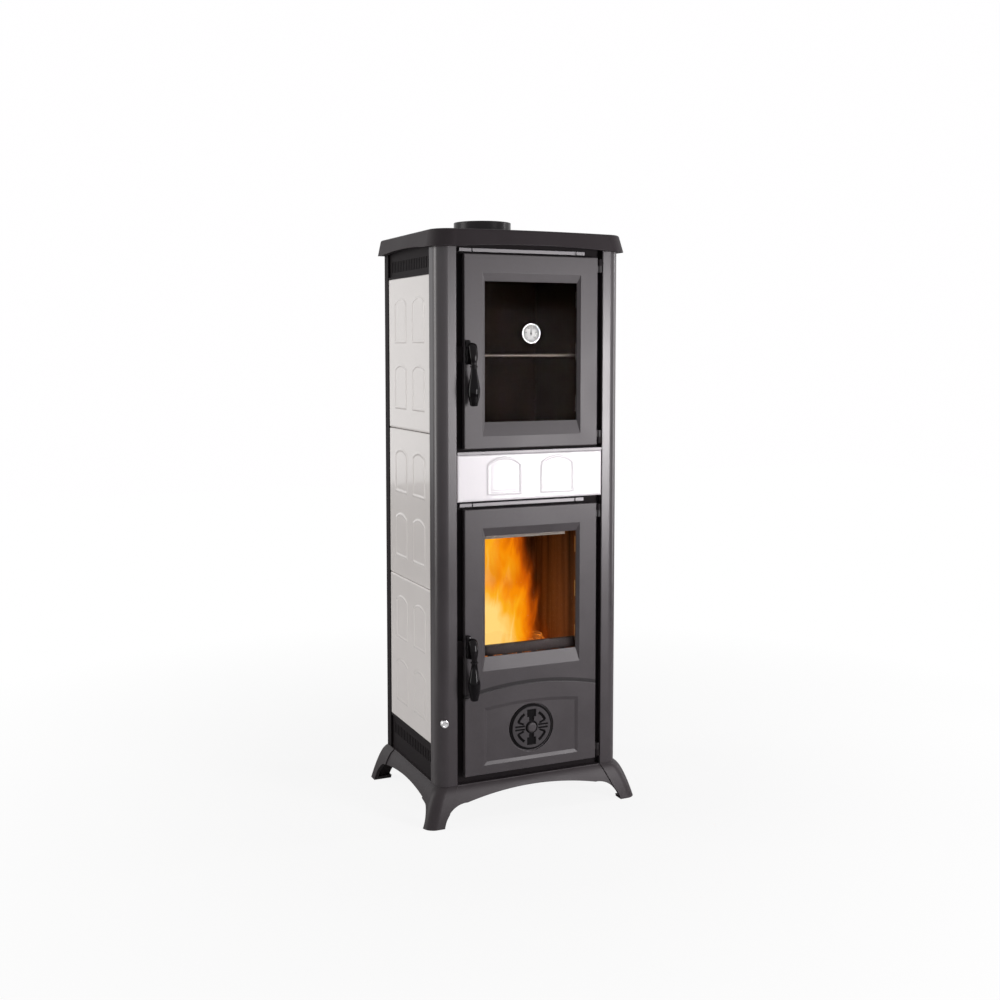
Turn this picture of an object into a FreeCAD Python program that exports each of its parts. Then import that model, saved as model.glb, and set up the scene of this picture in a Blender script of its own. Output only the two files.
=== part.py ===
import FreeCAD, Part
import math
import os

# A tall wood-burning range. A firebox with a glazed door stands below, and an
# oven with a glazed door above it. Cast iron makes the base with its four
# splayed feet, the front corner posts, the doors and the top plate. Glazed
# ceramic tiles close the sides and the strip between the two doors.
#
# Millimetres, +Z up. +X is to the right of someone who faces the doors, and
# they stand on the -Y side. The origin is on the floor, under the middle of
# the whole range's box.

os.makedirs("parts", exist_ok=True)

# ---------------------------------------------------------------- sizes ----
# The body
body_width = 420.0
body_depth = 318.0
base_height = 77.0
body_height = 1211.0
door_proud = 5.0
plate_back_overhang = 6.0

# Clearances
running_fit = 0.05
turning_gap = 0.1
tile_gap = 0.4
rope_gap = 0.3

# The cast base
foot_side_reach = 36.0
foot_front_reach = 26.0
foot_back_reach = 14.0
foot_length = 40.0
foot_depth = 23.0
foot_pad = 6.0
foot_knee = 30.0
foot_zone_margin = 1.0
base_wall = 6.0
apron_step = 2.5
front_arch_height = 59.0
front_arch_shoulder = 43.0
front_arch_inset = 17.0
front_arch_bulge = 9.0
front_arch_bulge_height = 31.0
side_arch_height = 54.0
side_arch_shoulder = 42.0
side_arch_inset = 21.0
side_arch_bulge = 5.0
side_arch_bulge_height = 26.0
air_inlet_radius = 40.0
air_inlet_setback = 222.0
deck_inset = 1.0

# The corner posts
post_size = 43.0
post_corner = 24.0
post_edge_round = 2.0
post_wall = 6.0
post_return = 14.0
post_lip = 12.0
back_post_depth = 23.0
back_post_leg = 23.0
back_post_wall = 3.0
back_post_lip = 18.0

# The top plate and the flue collar
plate_skin = 8.0
plate_lip = 27.0
plate_lip_wall = 10.0
plate_corner = 45.0
plate_edge_round = 5.0
plate_lip_gap = 1.0
plate_top_overhang = 6.0
plate_flare = 7.5
plate_front_overhang = 14.0
plate_bow = 12.0
lip_arch = 5.0
flue_radius = 60.5
collar_wall = 3.5
collar_height = 40.0
collar_flange = 6.0
collar_back_gap = 62.0
neck_lean = 30.0
collar_ear_reach = 76.0
collar_ear_radius = 9.0
screw_radius = 3.0

# The front frame, and the welded steel body behind it
frame_setback = 14.0
frame_thickness = 4.0
frame_lap = 13.0
opening_half_width = 118.0
shell_side_gap = 45.0
shell_wall = 4.0
shell_back_gap = 28.0
shell_top_gap = 31.0

# The doors
door_side_gap = 14.3
door_thickness = 12.0
door_foot_gap = 16.4
fire_door_height = 557.3
oven_door_foot_gap = 6.0
oven_door_head_gap = 40.4
door_edge_round = 1.6
window_half_width = 105.6
window_side_bevel = 7.2
window_top_bevel = 17.5
window_sill_bevel = 29.0
window_bevel_depth = 5.0
oven_window_foot = 54.1
oven_window_head = 54.6
fire_window_foot = 247.6
fire_window_head = 57.2
glass_thickness = 4.0
glass_overlap = 7.2
glass_slack = 0.5
clip_width = 12.0
clip_length = 34.0
clip_thickness = 2.0
rope_width = 10.0
rope_inset = 22.7
rope_end_inset = 5.6

# The fire door's lower half
panel_half_width = 110.0
panel_foot = 19.1
panel_height = 121.5
panel_slope = 7.0
panel_rise = 7.6
panel_depth = 2.5
groove_above_panel = 28.0
groove_rise = 18.0
groove_width = 4.5
groove_depth = 2.0
rosette_foot = 87.1
rosette_radius = 49.5
rosette_thickness = 5.4
rosette_seat_depth = 6.0
rosette_seat_gap = 2.5
rosette_slots = 4
rosette_slot_inner = 20.0
rosette_slot_outer = 41.0
rosette_slot_width = 12.0
rosette_pad_inner = 19.0
rosette_pad_outer = 40.0
rosette_pad_angle = 46.0
rosette_pad_height = 1.2
rosette_rim = 5.0
rosette_boss_radius = 10.5
rosette_boss_height = 4.0
rosette_bolt_radius = 4.0
nut_height = 4.0
nut_margin = 3.0

# The hinges
hinge_clear = 7.3
hinge_setback = 2.0
hinge_lug_radius = 5.0
hinge_pin_radius = 3.0
hinge_lug_height = 14.0
hinge_inset = 3.0

# The handles
handle_inset = 11.7
handle_shaft_radius = 4.0
handle_standoff = 3.0
handle_plate_thickness = 7.0
handle_plate_rise = 25.0
handle_plate_drop = 26.0
handle_plate_top_width = 11.0
handle_plate_foot_width = 20.0
handle_arm_width = 18.0
handle_arm_bow = 3.0
handle_arm_hollow = 1.0
handle_arm_foot = 18.0
handle_arm_root = 10.0
handle_scroll_radius = 9.0
handle_neck_drop = 30.0
grip_length = 79.0
grip_neck_radius = 6.0
grip_belly_radius = 12.5
grip_end_radius = 8.4
grip_belly_drop = 45.0
grip_forward = 27.0
oven_handle_foot = 197.1
fire_handle_foot = 274.6
pawl_length = 20.0
pawl_width = 10.0
pawl_thickness = 4.0
pawl_gap = 1.0
keeper_gap = 0.8
keeper_wall = 2.0
keeper_rise = 11.0
keeper_drop = 20.0
keeper_setback = 2.5

# The tiles
tile_thickness = 8.0
tile_recess = 1.0
tile_count = 3
tile_joint = 1.5
relief_width = 72.0
relief_height = 96.0
relief_rise = 11.0
relief_rim = 3.0
relief_proud = 1.5
relief_spacing = 109.0
relief_forward = 5.0
relief_pitch = 142.0
front_tile_gap = 4.3
front_tile_height = 96.0
front_panel_width = 78.0
front_panel_foot = 12.0
front_panel_height = 78.0
front_panel_spacing = 122.0
front_panel_rise = 15.0
rail_height = 6.0
rail_proud = 1.0

# The side frames and vents
frame_bar = 4.0
frame_bar_width = 16.0
lower_vent_height = 75.5
upper_vent_height = 76.5
lower_slot_foot = 36.0
upper_slot_foot = 10.0
vent_thickness = 2.0
vent_inset = 5.0
vent_slot_width = 4.0
vent_slot_height = 24.0
vent_slot_pitch = 10.0

# The strips above the doors
strip_left_gap = 8.0
strip_right_gap = 40.0
strip_gap = 4.5
strip_height = 7.0
strip_depth = 8.0
strip_slot = 2.5
strip_slot_inset = 27.0
strip_slot_inset_right = 22.0

# Inside the firebox
hearth_rise = 119.0
hearth_thickness = 8.0
hearth_opening_half = 78.0
hearth_opening_front = 85.0
hearth_opening_back_gap = 61.0
brick_thickness = 25.0
brick_gap = 0.5
brick_behind_guard = 6.0
brick_height = 436.0
baffle_thickness = 18.0
baffle_front_gap = 62.0
guard_thickness = 6.0
guard_height = 156.0
guard_foot = 25.0
guard_head = 22.0
guard_side = 12.0
guard_slot_count = 7
guard_bar = 10.0
fire_opening_foot = 8.0
fire_opening_head = 10.0
ash_opening_foot = 35.0
ash_opening_head = 4.0
drawer_wall = 1.5
drawer_side_gap = 6.0
drawer_front_gap = 2.0
drawer_pull_half = 25.0
drawer_pull_reach = 12.0
drawer_pull_drop = 8.0
drawer_pull_thickness = 2.0
drawer_height = 70.0
drawer_back_gap = 30.0
ledge_width = 10.0
ledge_height = 6.0

# The grate and its shaking rod
grate_half_width = 88.0
grate_length = 160.0
grate_thickness = 8.0
grate_border = 20.0
grate_bars = 9
grate_travel = 12.0
rod_radius = 3.0
rod_above_hearth = 9.0
rod_guide_setback = 204.0
rod_guide_size = 16.0
rod_guide_length = 6.0
rod_tail = 30.0
knob_from_side = 11.0
rod_from_side = 22.0
knob_radius = 8.0
knob_length = 10.0
knob_round = 1.5
knob_dimple = 5.0
knob_standoff = 2.0
crank_setback = 30.0
arm_setback = 150.0
arm_thickness = 6.0
arm_width = 8.0

# The oven
oven_half_width = 125.0
oven_foot = 25.1
oven_head = 25.6
oven_depth = 225.0
oven_wall = 3.0
oven_opening_foot = 10.0
oven_opening_head = 5.0
shelf_rise = 165.0
shelf_wire = 1.6
shelf_frame_wire = 3.0
shelf_wires = 12
shelf_gap = 1.5
shelf_setback = 14.0
runner_size = 6.0
runner_setback = 8.0

# The thermometer in the oven door's glass
thermometer_drop = 105.4
thermometer_offset = -1.5
thermometer_radius = 21.0
thermometer_face = 18.5
thermometer_thickness = 6.0
thermometer_recess = 2.0
thermometer_stem = 4.0
thermometer_probe = 34.0
thermometer_nut = 9.0
needle_length = 14.0
needle_tail = 4.0
needle_width = 1.8
needle_thickness = 0.6
needle_shaft = 0.8
needle_bearing = 2.5

# The rear heat shield
shield_thickness = 3.0
shield_inset = 10.0
shield_gap = 1.0
shield_slot_foot = 30.0
shield_slot_head = 90.0
shield_slot_width = 6.0
shield_slot_height = 40.0
shield_slot_pitch = 16.0
shield_screws = 4
shield_screw_inset = 60.0
screw_head_radius = 4.5
screw_head_height = 2.4

# ------------------------------------------------------- derived places ----
half_width = body_width / 2
handle_reach = grip_forward + grip_belly_radius
whole_depth = handle_reach + body_depth + foot_back_reach
front_plane = handle_reach - whole_depth / 2
plate_top = body_height + plate_skin
lip_bottom = body_height - plate_lip
post_inner = half_width - post_size
door_half = post_inner - door_side_gap
foot_outer = half_width + foot_side_reach
foot_inner = foot_outer - foot_length
post_face = post_inner - tile_gap
bevel_outer_half = window_half_width + window_side_bevel
pocket_half = window_half_width + glass_overlap
hinge_x = door_half + hinge_clear
handle_x = -(door_half - handle_inset)
frame_back = frame_setback + frame_thickness
door_back = door_thickness - door_proud
rosette_face = rosette_seat_depth - door_proud - turning_gap - rosette_thickness
shell_back = body_depth - shell_back_gap
shell_back_inner = shell_back - shell_wall
shell_half_width = half_width - shell_side_gap
shell_inner = shell_half_width - shell_wall
shell_top = body_height - shell_top_gap
collar_setback = body_depth - collar_back_gap
neck_setback = collar_setback - neck_lean
tile_outer = half_width - tile_recess
tile_inner = tile_outer - tile_thickness
tile_front = post_size + tile_gap
tile_back = body_depth - back_post_depth - tile_gap
frame_half_width = post_inner + frame_lap
strip_left = -post_inner + strip_left_gap
strip_right = post_inner - strip_right_gap
hearth_opening_back = shell_back_inner - hearth_opening_back_gap
rod_x = -half_width + rod_from_side
knob_x = -half_width + knob_from_side

# The heights of the fire door, the tile strip and the oven door, in that order
fire_door_bottom = base_height + door_foot_gap
fire_door_top = fire_door_bottom + fire_door_height
lower_strip_bottom = fire_door_top + strip_gap
front_tile_bottom = lower_strip_bottom + strip_height + front_tile_gap
front_tile_top = front_tile_bottom + front_tile_height
rail_bottom = front_tile_top + tile_gap
oven_door_bottom = rail_bottom + rail_height + oven_door_foot_gap
oven_door_top = body_height - oven_door_head_gap
upper_strip_bottom = oven_door_top + strip_gap

# What is on each door
fire_window_bottom = fire_door_bottom + fire_window_foot
fire_window_top = fire_door_top - fire_window_head
oven_window_bottom = oven_door_bottom + oven_window_foot
oven_window_top = oven_door_top - oven_window_head
fire_handle_height = fire_door_bottom + fire_handle_foot
oven_handle_height = oven_door_bottom + oven_handle_foot
rosette_height = fire_door_bottom + rosette_foot
panel_bottom = fire_door_bottom + panel_foot
panel_shoulder = panel_bottom + panel_height
groove_shoulder = panel_shoulder + groove_above_panel
thermometer_height = oven_window_top - thermometer_drop

# Inside the body and on its sides
hearth_bottom = base_height + hearth_rise
hearth_top = hearth_bottom + hearth_thickness
brick_top = hearth_top + brick_height
guard_top = hearth_top + guard_height
rod_height = hearth_top + rod_above_hearth
ash_opening_bottom = base_height + ash_opening_foot
oven_bottom = oven_door_bottom + oven_foot
oven_top = oven_door_top - oven_head
shelf_height = oven_bottom + shelf_rise
tiles_bottom = base_height + lower_vent_height + frame_bar
tiles_top = body_height - upper_vent_height - frame_bar
tile_pitch = (tiles_top - tiles_bottom) / tile_count


# -------------------------------------------------------------- helpers ----
def y_at(setback):
    """The Y of a plane that lies so far behind the posts' front faces."""
    return front_plane + setback


def block(x, setback, z):
    """A block between two limits along X, two setbacks and two heights."""
    corner = FreeCAD.Vector(x[0], y_at(setback[0]), z[0])
    return Part.makeBox(x[1] - x[0], setback[1] - setback[0], z[1] - z[0], corner)


def both_sides(shape):
    """A shape and its mirror image across the middle of the range."""
    return [shape, mirrored(shape)]


def mirrored(shape):
    """The shape's mirror image across the middle of the range."""
    return shape.mirror(FreeCAD.Vector(0, 0, 0), FreeCAD.Vector(1, 0, 0))


def bar_along_y(radius, x, z, setbacks):
    """A round bar that runs from front to back."""
    start = FreeCAD.Vector(x, y_at(setbacks[0]), z)
    return Part.makeCylinder(radius, setbacks[1] - setbacks[0], start, FreeCAD.Vector(0, 1, 0))


def bar_along_x(radius, xs, setback, z):
    """A round bar that runs from left to right."""
    start = FreeCAD.Vector(xs[0], y_at(setback), z)
    return Part.makeCylinder(radius, xs[1] - xs[0], start, FreeCAD.Vector(1, 0, 0))


def upright(radius, x, setback, zs):
    """A round upright between two heights."""
    start = FreeCAD.Vector(x, y_at(setback), zs[0])
    return Part.makeCylinder(radius, zs[1] - zs[0], start, FreeCAD.Vector(0, 0, 1))


def outline(steps, lift):
    """A closed wire. A step is a corner, or (through, corner) for an arc; lift makes it 3-D."""
    here = lift(*steps[0])
    edges = []
    for step in steps[1:] + [steps[0]]:
        is_arc = isinstance(step[0], tuple)
        there = lift(*(step[1] if is_arc else step))
        if is_arc:
            edges.append(Part.Arc(here, lift(*step[0]), there).toShape())
        elif here.distanceToPoint(there) > 1e-6:
            edges.append(Part.makeLine(here, there))
        here = there
    return Part.Wire(edges)


def facing(setback):
    """Lifts (x, z) of a drawing seen from the front to its place."""
    return lambda x, z: FreeCAD.Vector(x, y_at(setback), z)


def from_above(z):
    """Lifts (x, setback) of a drawing seen from above to its place."""
    return lambda x, setback: FreeCAD.Vector(x, y_at(setback), z)


def cut_out(steps, setbacks):
    """A drawing seen from the front, carried from one setback to another."""
    face = Part.Face(outline(steps, facing(setbacks[0])))
    return face.extrude(FreeCAD.Vector(0, setbacks[1] - setbacks[0], 0))


def raised(steps, zs):
    """A drawing seen from above, carried from one height to another."""
    face = Part.Face(outline(steps, from_above(zs[0])))
    return face.extrude(FreeCAD.Vector(0, 0, zs[1] - zs[0]))


def arch_steps(centre, bottom, width, height, rise):
    """A panel with straight sides and an arched top, seen from the front."""
    left, right = centre - width / 2, centre + width / 2
    shoulder = bottom + height - rise
    arch = ((centre, bottom + height), (right, shoulder))
    return [(left, bottom), (left, shoulder), arch, (right, bottom)]


def rectangle(half, zs):
    """A rectangle seen from the front, centred across the range."""
    return [(-half, zs[0]), (-half, zs[1]), (half, zs[1]), (half, zs[0])]


def plan(half, front, back, corner, bow=0.0):
    """A casting's outline from above: rounded front corners, square back ones, bowed front."""
    turn = corner * (1 - math.sqrt(0.5))
    return [
        (-half, back),
        (-half, front + corner),
        ((-half + turn, front + turn), (-half + corner, front)),
        ((0, front - bow), (half - corner, front)) if bow else (half - corner, front),
        ((half - turn, front + turn), (half, front + corner)),
        (half, back),
    ]


def fused(shapes):
    """Joins shapes that belong to one casting or one weldment."""
    return shapes[0].multiFuse(shapes[1:]).removeSplitter()


def save(name, shapes):
    """Writes one node: a single piece, or a list of separate like pieces."""
    shape = Part.makeCompound(shapes) if isinstance(shapes, list) else shapes
    shape.exportStep("parts/" + name + ".step")


# ------------------------------------------------------------- the base ----
def foot_spread(z):
    """How far the base has spread at a height: quickly under the body, then straight down."""
    return ((base_height - z) / base_height) ** 0.6


def base_form(inset):
    """The base's flared form, drawn in by an inset, as a loft through level outlines."""
    wires = []
    for share in (0.0, 0.2, 0.42, 0.65, 0.85, 1.0):
        z = base_height * share
        spread = foot_spread(z)
        half = half_width + foot_side_reach * spread - inset
        front = inset - foot_front_reach * spread
        back = body_depth + foot_back_reach * spread - inset
        steps = plan(half, front, back, post_corner)
        wires.append(outline(steps, from_above(z)))
    return Part.makeLoft(wires, True, False)


def leg_zone():
    """The four corners of the base, which the legs' slanted edges bound."""
    under, over = -1.0, base_height + 1
    knee_x = foot_inner - foot_knee * (foot_inner - post_inner) / base_height
    side = [
        (foot_outer + foot_zone_margin, under),
        (foot_inner, under),
        (knee_x, foot_knee),
        (post_inner, base_height),
        (post_inner, over),
        (foot_outer + foot_zone_margin, over),
    ]
    ends = (-foot_front_reach - 1, body_depth + foot_back_reach + 1)
    across = fused(both_sides(cut_out(side, ends)))
    reach = foot_outer + 2 * foot_zone_margin
    front_zone = block((-reach, reach), (ends[0], post_size), (under, over))
    back_zone = block((-reach, reach), (body_depth - post_size, ends[1]), (under, over))
    return across.common(front_zone.fuse(back_zone))


def front_to_back_arch():
    """The arched opening between the left and the right feet."""
    under = -1.0
    shoulder_x = post_inner - front_arch_inset
    bulge_x = (foot_inner + shoulder_x) / 2 + front_arch_bulge
    steps = [
        (-foot_inner, under),
        ((-bulge_x, front_arch_bulge_height), (-shoulder_x, front_arch_shoulder)),
        ((0, front_arch_height), (shoulder_x, front_arch_shoulder)),
        ((bulge_x, front_arch_bulge_height), (foot_inner, under)),
    ]
    return cut_out(steps, (-foot_front_reach - 1, body_depth + foot_back_reach + 1))


def side_to_side_arch():
    """The arched opening between the front and the back feet."""
    under = -1.0
    front_foot = foot_depth - foot_front_reach
    back_foot = body_depth + foot_back_reach - foot_depth
    near, far = front_foot + side_arch_inset, back_foot - side_arch_inset
    steps = [
        (front_foot, under),
        ((front_foot + side_arch_bulge, side_arch_bulge_height), (near, side_arch_shoulder)),
        (((near + far) / 2, side_arch_height), (far, side_arch_shoulder)),
        ((back_foot - side_arch_bulge, side_arch_bulge_height), (back_foot, under)),
    ]
    reach = foot_outer + 1
    face = Part.Face(outline(steps, lambda s, z: FreeCAD.Vector(-reach, y_at(s), z)))
    return face.extrude(FreeCAD.Vector(2 * reach, 0, 0))


def base_casting():
    """The base: flared aprons between four splayed feet, under a flat deck."""
    zone = leg_zone()
    full = base_form(0.0)
    legs = full.common(zone)
    walls = legs.fuse(base_form(apron_step)).cut(base_form(apron_step + base_wall))
    pad_zone = block((-foot_outer, foot_outer), (-body_depth, 2 * body_depth), (0, foot_pad))
    pads = legs.common(pad_zone)
    deck_half, deck_back = half_width - deck_inset, body_depth - deck_inset
    deck_steps = plan(deck_half, deck_inset, deck_back, post_corner - deck_inset)
    deck = raised(deck_steps, (base_height - base_wall, base_height))
    casting = fused([walls, pads, deck])
    casting = casting.cut(front_to_back_arch()).cut(side_to_side_arch())
    inlet = upright(air_inlet_radius, 0, air_inlet_setback, (0, base_height + 1))
    return casting.cut(inlet)


# ------------------------------------------------------------ the posts ----
def front_left_post():
    """A cast angle with a rounded corner, and lips that hold the front frame and the tiles."""
    x = lambda inward: -half_width + inward
    turn = 1 - math.sqrt(0.5)
    inner = post_corner - post_wall
    steps = [
        (x(0), post_size),
        (x(0), post_corner),
        ((x(post_corner * turn), post_corner * turn), (x(post_corner), 0)),
        (x(post_size - post_edge_round), 0),
        ((x(post_size - post_edge_round * turn), post_edge_round * turn), (x(post_size), post_edge_round)),
        (x(post_size), post_return),
        (x(post_size - post_wall), post_return),
        (x(post_size - post_wall), post_wall),
        (x(post_corner), post_wall),
        ((x(post_wall + inner * turn), post_wall + inner * turn), (x(post_wall), post_corner)),
        (x(post_wall), post_size - post_wall),
        (x(post_wall + post_lip), post_size - post_wall),
        (x(post_wall + post_lip), post_size),
    ]
    return raised(steps, (base_height, body_height))


def back_left_post():
    """A folded steel channel at the rear corner."""
    x = lambda inward: -half_width + inward
    wall = back_post_wall
    start = body_depth - back_post_depth
    steps = [
        (x(0), start),
        (x(back_post_lip), start),
        (x(back_post_lip), start + wall),
        (x(wall), start + wall),
        (x(wall), body_depth - wall),
        (x(back_post_leg), body_depth - wall),
        (x(back_post_leg), body_depth),
        (x(0), body_depth),
    ]
    return raised(steps, (base_height, body_height))


# -------------------------------------------------- the plate and collar ----
def plate_outline(z, top_overhang, inset):
    """The top plate's outline at a height, for its flaring lip."""
    flare = plate_flare * (plate_top - z) / (plate_lip + plate_skin)
    half = half_width + top_overhang + flare - inset
    front = -plate_front_overhang - flare + inset
    back = body_depth + plate_back_overhang - inset
    return outline(plan(half, front, back, plate_corner - inset, plate_bow), from_above(z))


def lip_arch_cut():
    """What the arched lower edge of the lip leaves out, in front and at the sides."""
    under = lip_bottom - 1
    front_steps = [
        (-post_inner, under),
        (-post_inner, lip_bottom),
        ((0, lip_bottom + lip_arch), (post_inner, lip_bottom)),
        (post_inner, under),
    ]
    front_cut = cut_out(front_steps, (-2 * post_size, 0))
    back_edge = body_depth - back_post_depth
    side_steps = [
        (post_size, under),
        (post_size, lip_bottom),
        ((body_depth / 2, lip_bottom + lip_arch), (back_edge, lip_bottom)),
        (back_edge, under),
    ]
    reach = foot_outer
    face = Part.Face(outline(side_steps, lambda s, z: FreeCAD.Vector(-reach, y_at(s), z)))
    return front_cut.fuse(face.extrude(FreeCAD.Vector(2 * reach, 0, 0)))


def top_plate():
    """The cast top: a flat skin with a rounded rim, and a flaring lip with an arched lower edge."""
    rings = [plate_outline(z, plate_top_overhang, 0.0) for z in (lip_bottom, plate_top)]
    outer = Part.makeLoft(rings, True, True)
    rim = [e for e in outer.Edges if all(abs(v.Point.z - plate_top) < 0.01 for v in e.Vertexes)]
    outer = outer.makeFillet(plate_edge_round, rim)
    under = lip_bottom - 1
    seat_steps = plan(half_width + plate_lip_gap, -plate_lip_gap, body_depth + plate_lip_gap, post_corner)
    seat = raised(seat_steps, (under, body_height))
    bowed_rings = [plate_outline(z, plate_top_overhang, plate_lip_wall) for z in (under, body_height)]
    reach = half_width - plate_corner + plate_top_overhang
    ahead = block((-reach, reach), (-2 * post_size, 0), (under, body_height))
    bowed = Part.makeLoft(bowed_rings, True, True).common(ahead)
    plate = outer.cut(seat).cut(bowed).cut(lip_arch_cut())
    plate = plate.cut(upright(flue_radius, 0, collar_setback, (body_height - 1, plate_top + 1)))
    for x, setback in collar_ears():
        plate = plate.cut(upright(screw_radius, x, setback, (body_height - 1, plate_top + 1)))
    return plate


def collar_ears():
    """Where the collar's three screws are: left, right and in front of the flue."""
    return [
        (-collar_ear_reach, collar_setback),
        (collar_ear_reach, collar_setback),
        (0, collar_setback - collar_ear_reach),
    ]


def flue_collar():
    """The cast spigot that takes the flue pipe, with a flange and three screw ears."""
    z = plate_top
    tube_radius = flue_radius + collar_wall
    pieces = [
        upright(tube_radius, 0, collar_setback, (z, z + collar_height)),
        upright(tube_radius + collar_wall, 0, collar_setback, (z, z + collar_flange)),
    ]
    for x, setback in collar_ears():
        pieces.append(upright(collar_ear_radius, x, setback, (z, z + collar_flange)))
        half = collar_ear_radius
        xs = (min(x, 0) - (half if x == 0 else 0), max(x, 0) + (half if x == 0 else 0))
        backs = (setback - half, setback + half) if x else (setback, collar_setback)
        pieces.append(block(xs, backs, (z, z + collar_flange)))
    collar = fused(pieces).cut(upright(flue_radius, 0, collar_setback, (z - 1, z + collar_height + 1)))
    for x, setback in collar_ears():
        collar = collar.cut(upright(screw_radius, x, setback, (z - 1, z + collar_flange + 1)))
    return collar


def flue_collar_screws():
    """Three screws through the collar's ears into the top plate."""
    screws = []
    for x, setback in collar_ears():
        top = plate_top + collar_flange
        shank = upright(screw_radius, x, setback, (body_height, top))
        head = upright(screw_head_radius, x, setback, (top, top + screw_head_height))
        screws.append(shank.fuse(head))
    return screws


# ------------------------------------------------------ the front frame ----
def hinge_spans(bottom, top):
    """Heights of a door's lower and upper hinge: (frame lug, door lug) for each."""
    low = bottom + hinge_inset
    high = top - hinge_inset
    lug = hinge_lug_height
    return [
        ((low, low + lug), (low + lug + turning_gap, low + 2 * lug)),
        ((high - lug, high), (high - 2 * lug, high - lug - turning_gap)),
    ]


def door_spans():
    """The bottom and top of the fire door and of the oven door."""
    return [(fire_door_bottom, fire_door_top), (oven_door_bottom, oven_door_top)]


def keeper(height):
    """The bent steel catch in the gap beside a door, which a latch pawl turns behind."""
    right = -(door_half + keeper_gap)
    left = -post_face
    back = door_back + pawl_gap / 2
    zs = (height - keeper_drop, height + keeper_rise)
    tongue = block((left, right), (keeper_setback, back), zs)
    leg = block((left, left + keeper_wall), (back, frame_setback), zs)
    return tongue.fuse(leg)


def front_frame():
    """The steel front: both door openings, the hinge lugs and the two latch keepers."""
    faces = (frame_setback, frame_back)
    plate = block((-frame_half_width, frame_half_width), faces, (base_height, body_height))
    openings = [
        (ash_opening_bottom, hearth_bottom - ash_opening_head),
        (hearth_top + fire_opening_foot, brick_top - fire_opening_head),
        (oven_bottom + oven_opening_foot, oven_top - oven_opening_head),
    ]
    for zs in openings:
        hole = block((-opening_half_width, opening_half_width), (frame_setback - 1, frame_back + 1), zs)
        plate = plate.cut(hole)
    pieces = [plate]
    for bottom, top in door_spans():
        for frame_zs, _ in hinge_spans(bottom, top):
            lug = upright(hinge_lug_radius, hinge_x, hinge_setback, frame_zs)
            web_half = hinge_lug_radius - 2
            web = block((hinge_x - web_half, hinge_x + web_half), (hinge_setback, frame_setback), frame_zs)
            pin_hole = upright(hinge_pin_radius, hinge_x, hinge_setback, (frame_zs[0] - 1, frame_zs[1] + 1))
            pieces.append(lug.fuse(web).cut(pin_hole))
    pieces.append(keeper(fire_handle_height))
    pieces.append(keeper(oven_handle_height))
    return fused(pieces)


def hinge_pins():
    """Four pins, each through a frame lug and a door lug."""
    pins = []
    for bottom, top in door_spans():
        for frame_zs, door_zs in hinge_spans(bottom, top):
            zs = (min(frame_zs[0], door_zs[0]) + 1, max(frame_zs[1], door_zs[1]) - 1)
            pins.append(upright(hinge_pin_radius, hinge_x, hinge_setback, zs))
    return pins


def air_strip(bottom):
    """The pale strip above a door, with two narrow slots across its face."""
    top = bottom + strip_height
    strip = block((strip_left, strip_right), (frame_setback - strip_depth, frame_setback), (bottom, top))
    for x in (strip_left + strip_slot_inset, strip_right - strip_slot_inset_right):
        slot = block((x, x + strip_slot), (0, frame_setback - strip_depth / 2), (bottom - 1, top + 1))
        strip = strip.cut(slot)
    return strip


# ------------------------------------------------------------- the shell ----
def flue_neck(radius, back_limit, bottom):
    """A slanted duct from the shell's roof to the plate's flue hole, flattened at its back."""
    low_z = shell_top - shell_wall
    start = upright(radius, 0, neck_setback, (bottom, shell_top))
    rings = []
    for setback, z in ((neck_setback, shell_top), (collar_setback, body_height)):
        rings.append(Part.Wire(Part.makeCircle(radius, FreeCAD.Vector(0, y_at(setback), z))))
    duct = start.fuse(Part.makeLoft(rings, True, True))
    return duct.common(block((-half_width, half_width), (0, back_limit), (low_z - 1, body_height)))


def shell_fittings():
    """The ledges under the hearth and the runners under the ash drawer, on both sides."""
    run = (frame_back, shell_back_inner)
    drawer_half = opening_half_width - drawer_side_gap
    ledge_zs = (hearth_bottom - ledge_height, hearth_bottom)
    ledge = block((-shell_inner, -shell_inner + ledge_width), run, ledge_zs)
    runner_zs = (base_height + shell_wall, ash_opening_bottom)
    runner = block((-drawer_half, -drawer_half + ledge_width), run, runner_zs)
    return both_sides(ledge) + both_sides(runner)


def rod_slot():
    """The slot in the shell's left wall for the grate's cross arm and its travel."""
    slot_half = arm_width / 2 + grate_travel + 1
    (arm_bottom, arm_top), _ = arm_places()
    return block(
        (-shell_half_width - 1, -shell_inner + 1),
        (arm_setback - slot_half, arm_setback + slot_half),
        (arm_bottom - 1, arm_top + 0.5),
    )


def rod_guide():
    """The drilled block on the shell's left wall that the shaking rod slides in."""
    half = rod_guide_size / 2
    run = (rod_guide_setback, rod_guide_setback + rod_guide_length)
    guide = block((rod_x - half, -shell_half_width), run, (rod_height - half, rod_height + half))
    return guide.cut(bar_along_y(rod_radius + running_fit, rod_x, rod_height, run))


def inner_shell():
    """The welded steel body: floor, sides, back, top and the neck up to the flue."""
    outer = block((-shell_half_width, shell_half_width), (frame_back, shell_back), (base_height, shell_top))
    inner = block(
        (-shell_inner, shell_inner),
        (frame_back - 1, shell_back_inner),
        (base_height + shell_wall, shell_top - shell_wall),
    )
    neck_back = body_depth - back_post_wall - shield_thickness - shield_gap
    low_z = shell_top - shell_wall
    neck = flue_neck(flue_radius + shell_wall, neck_back, low_z)
    bore = flue_neck(flue_radius, neck_back - shell_wall, low_z - 1)
    shell = fused([outer.cut(inner), neck] + shell_fittings()).cut(bore)
    return shell.cut(rod_slot()).fuse(rod_guide())


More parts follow.
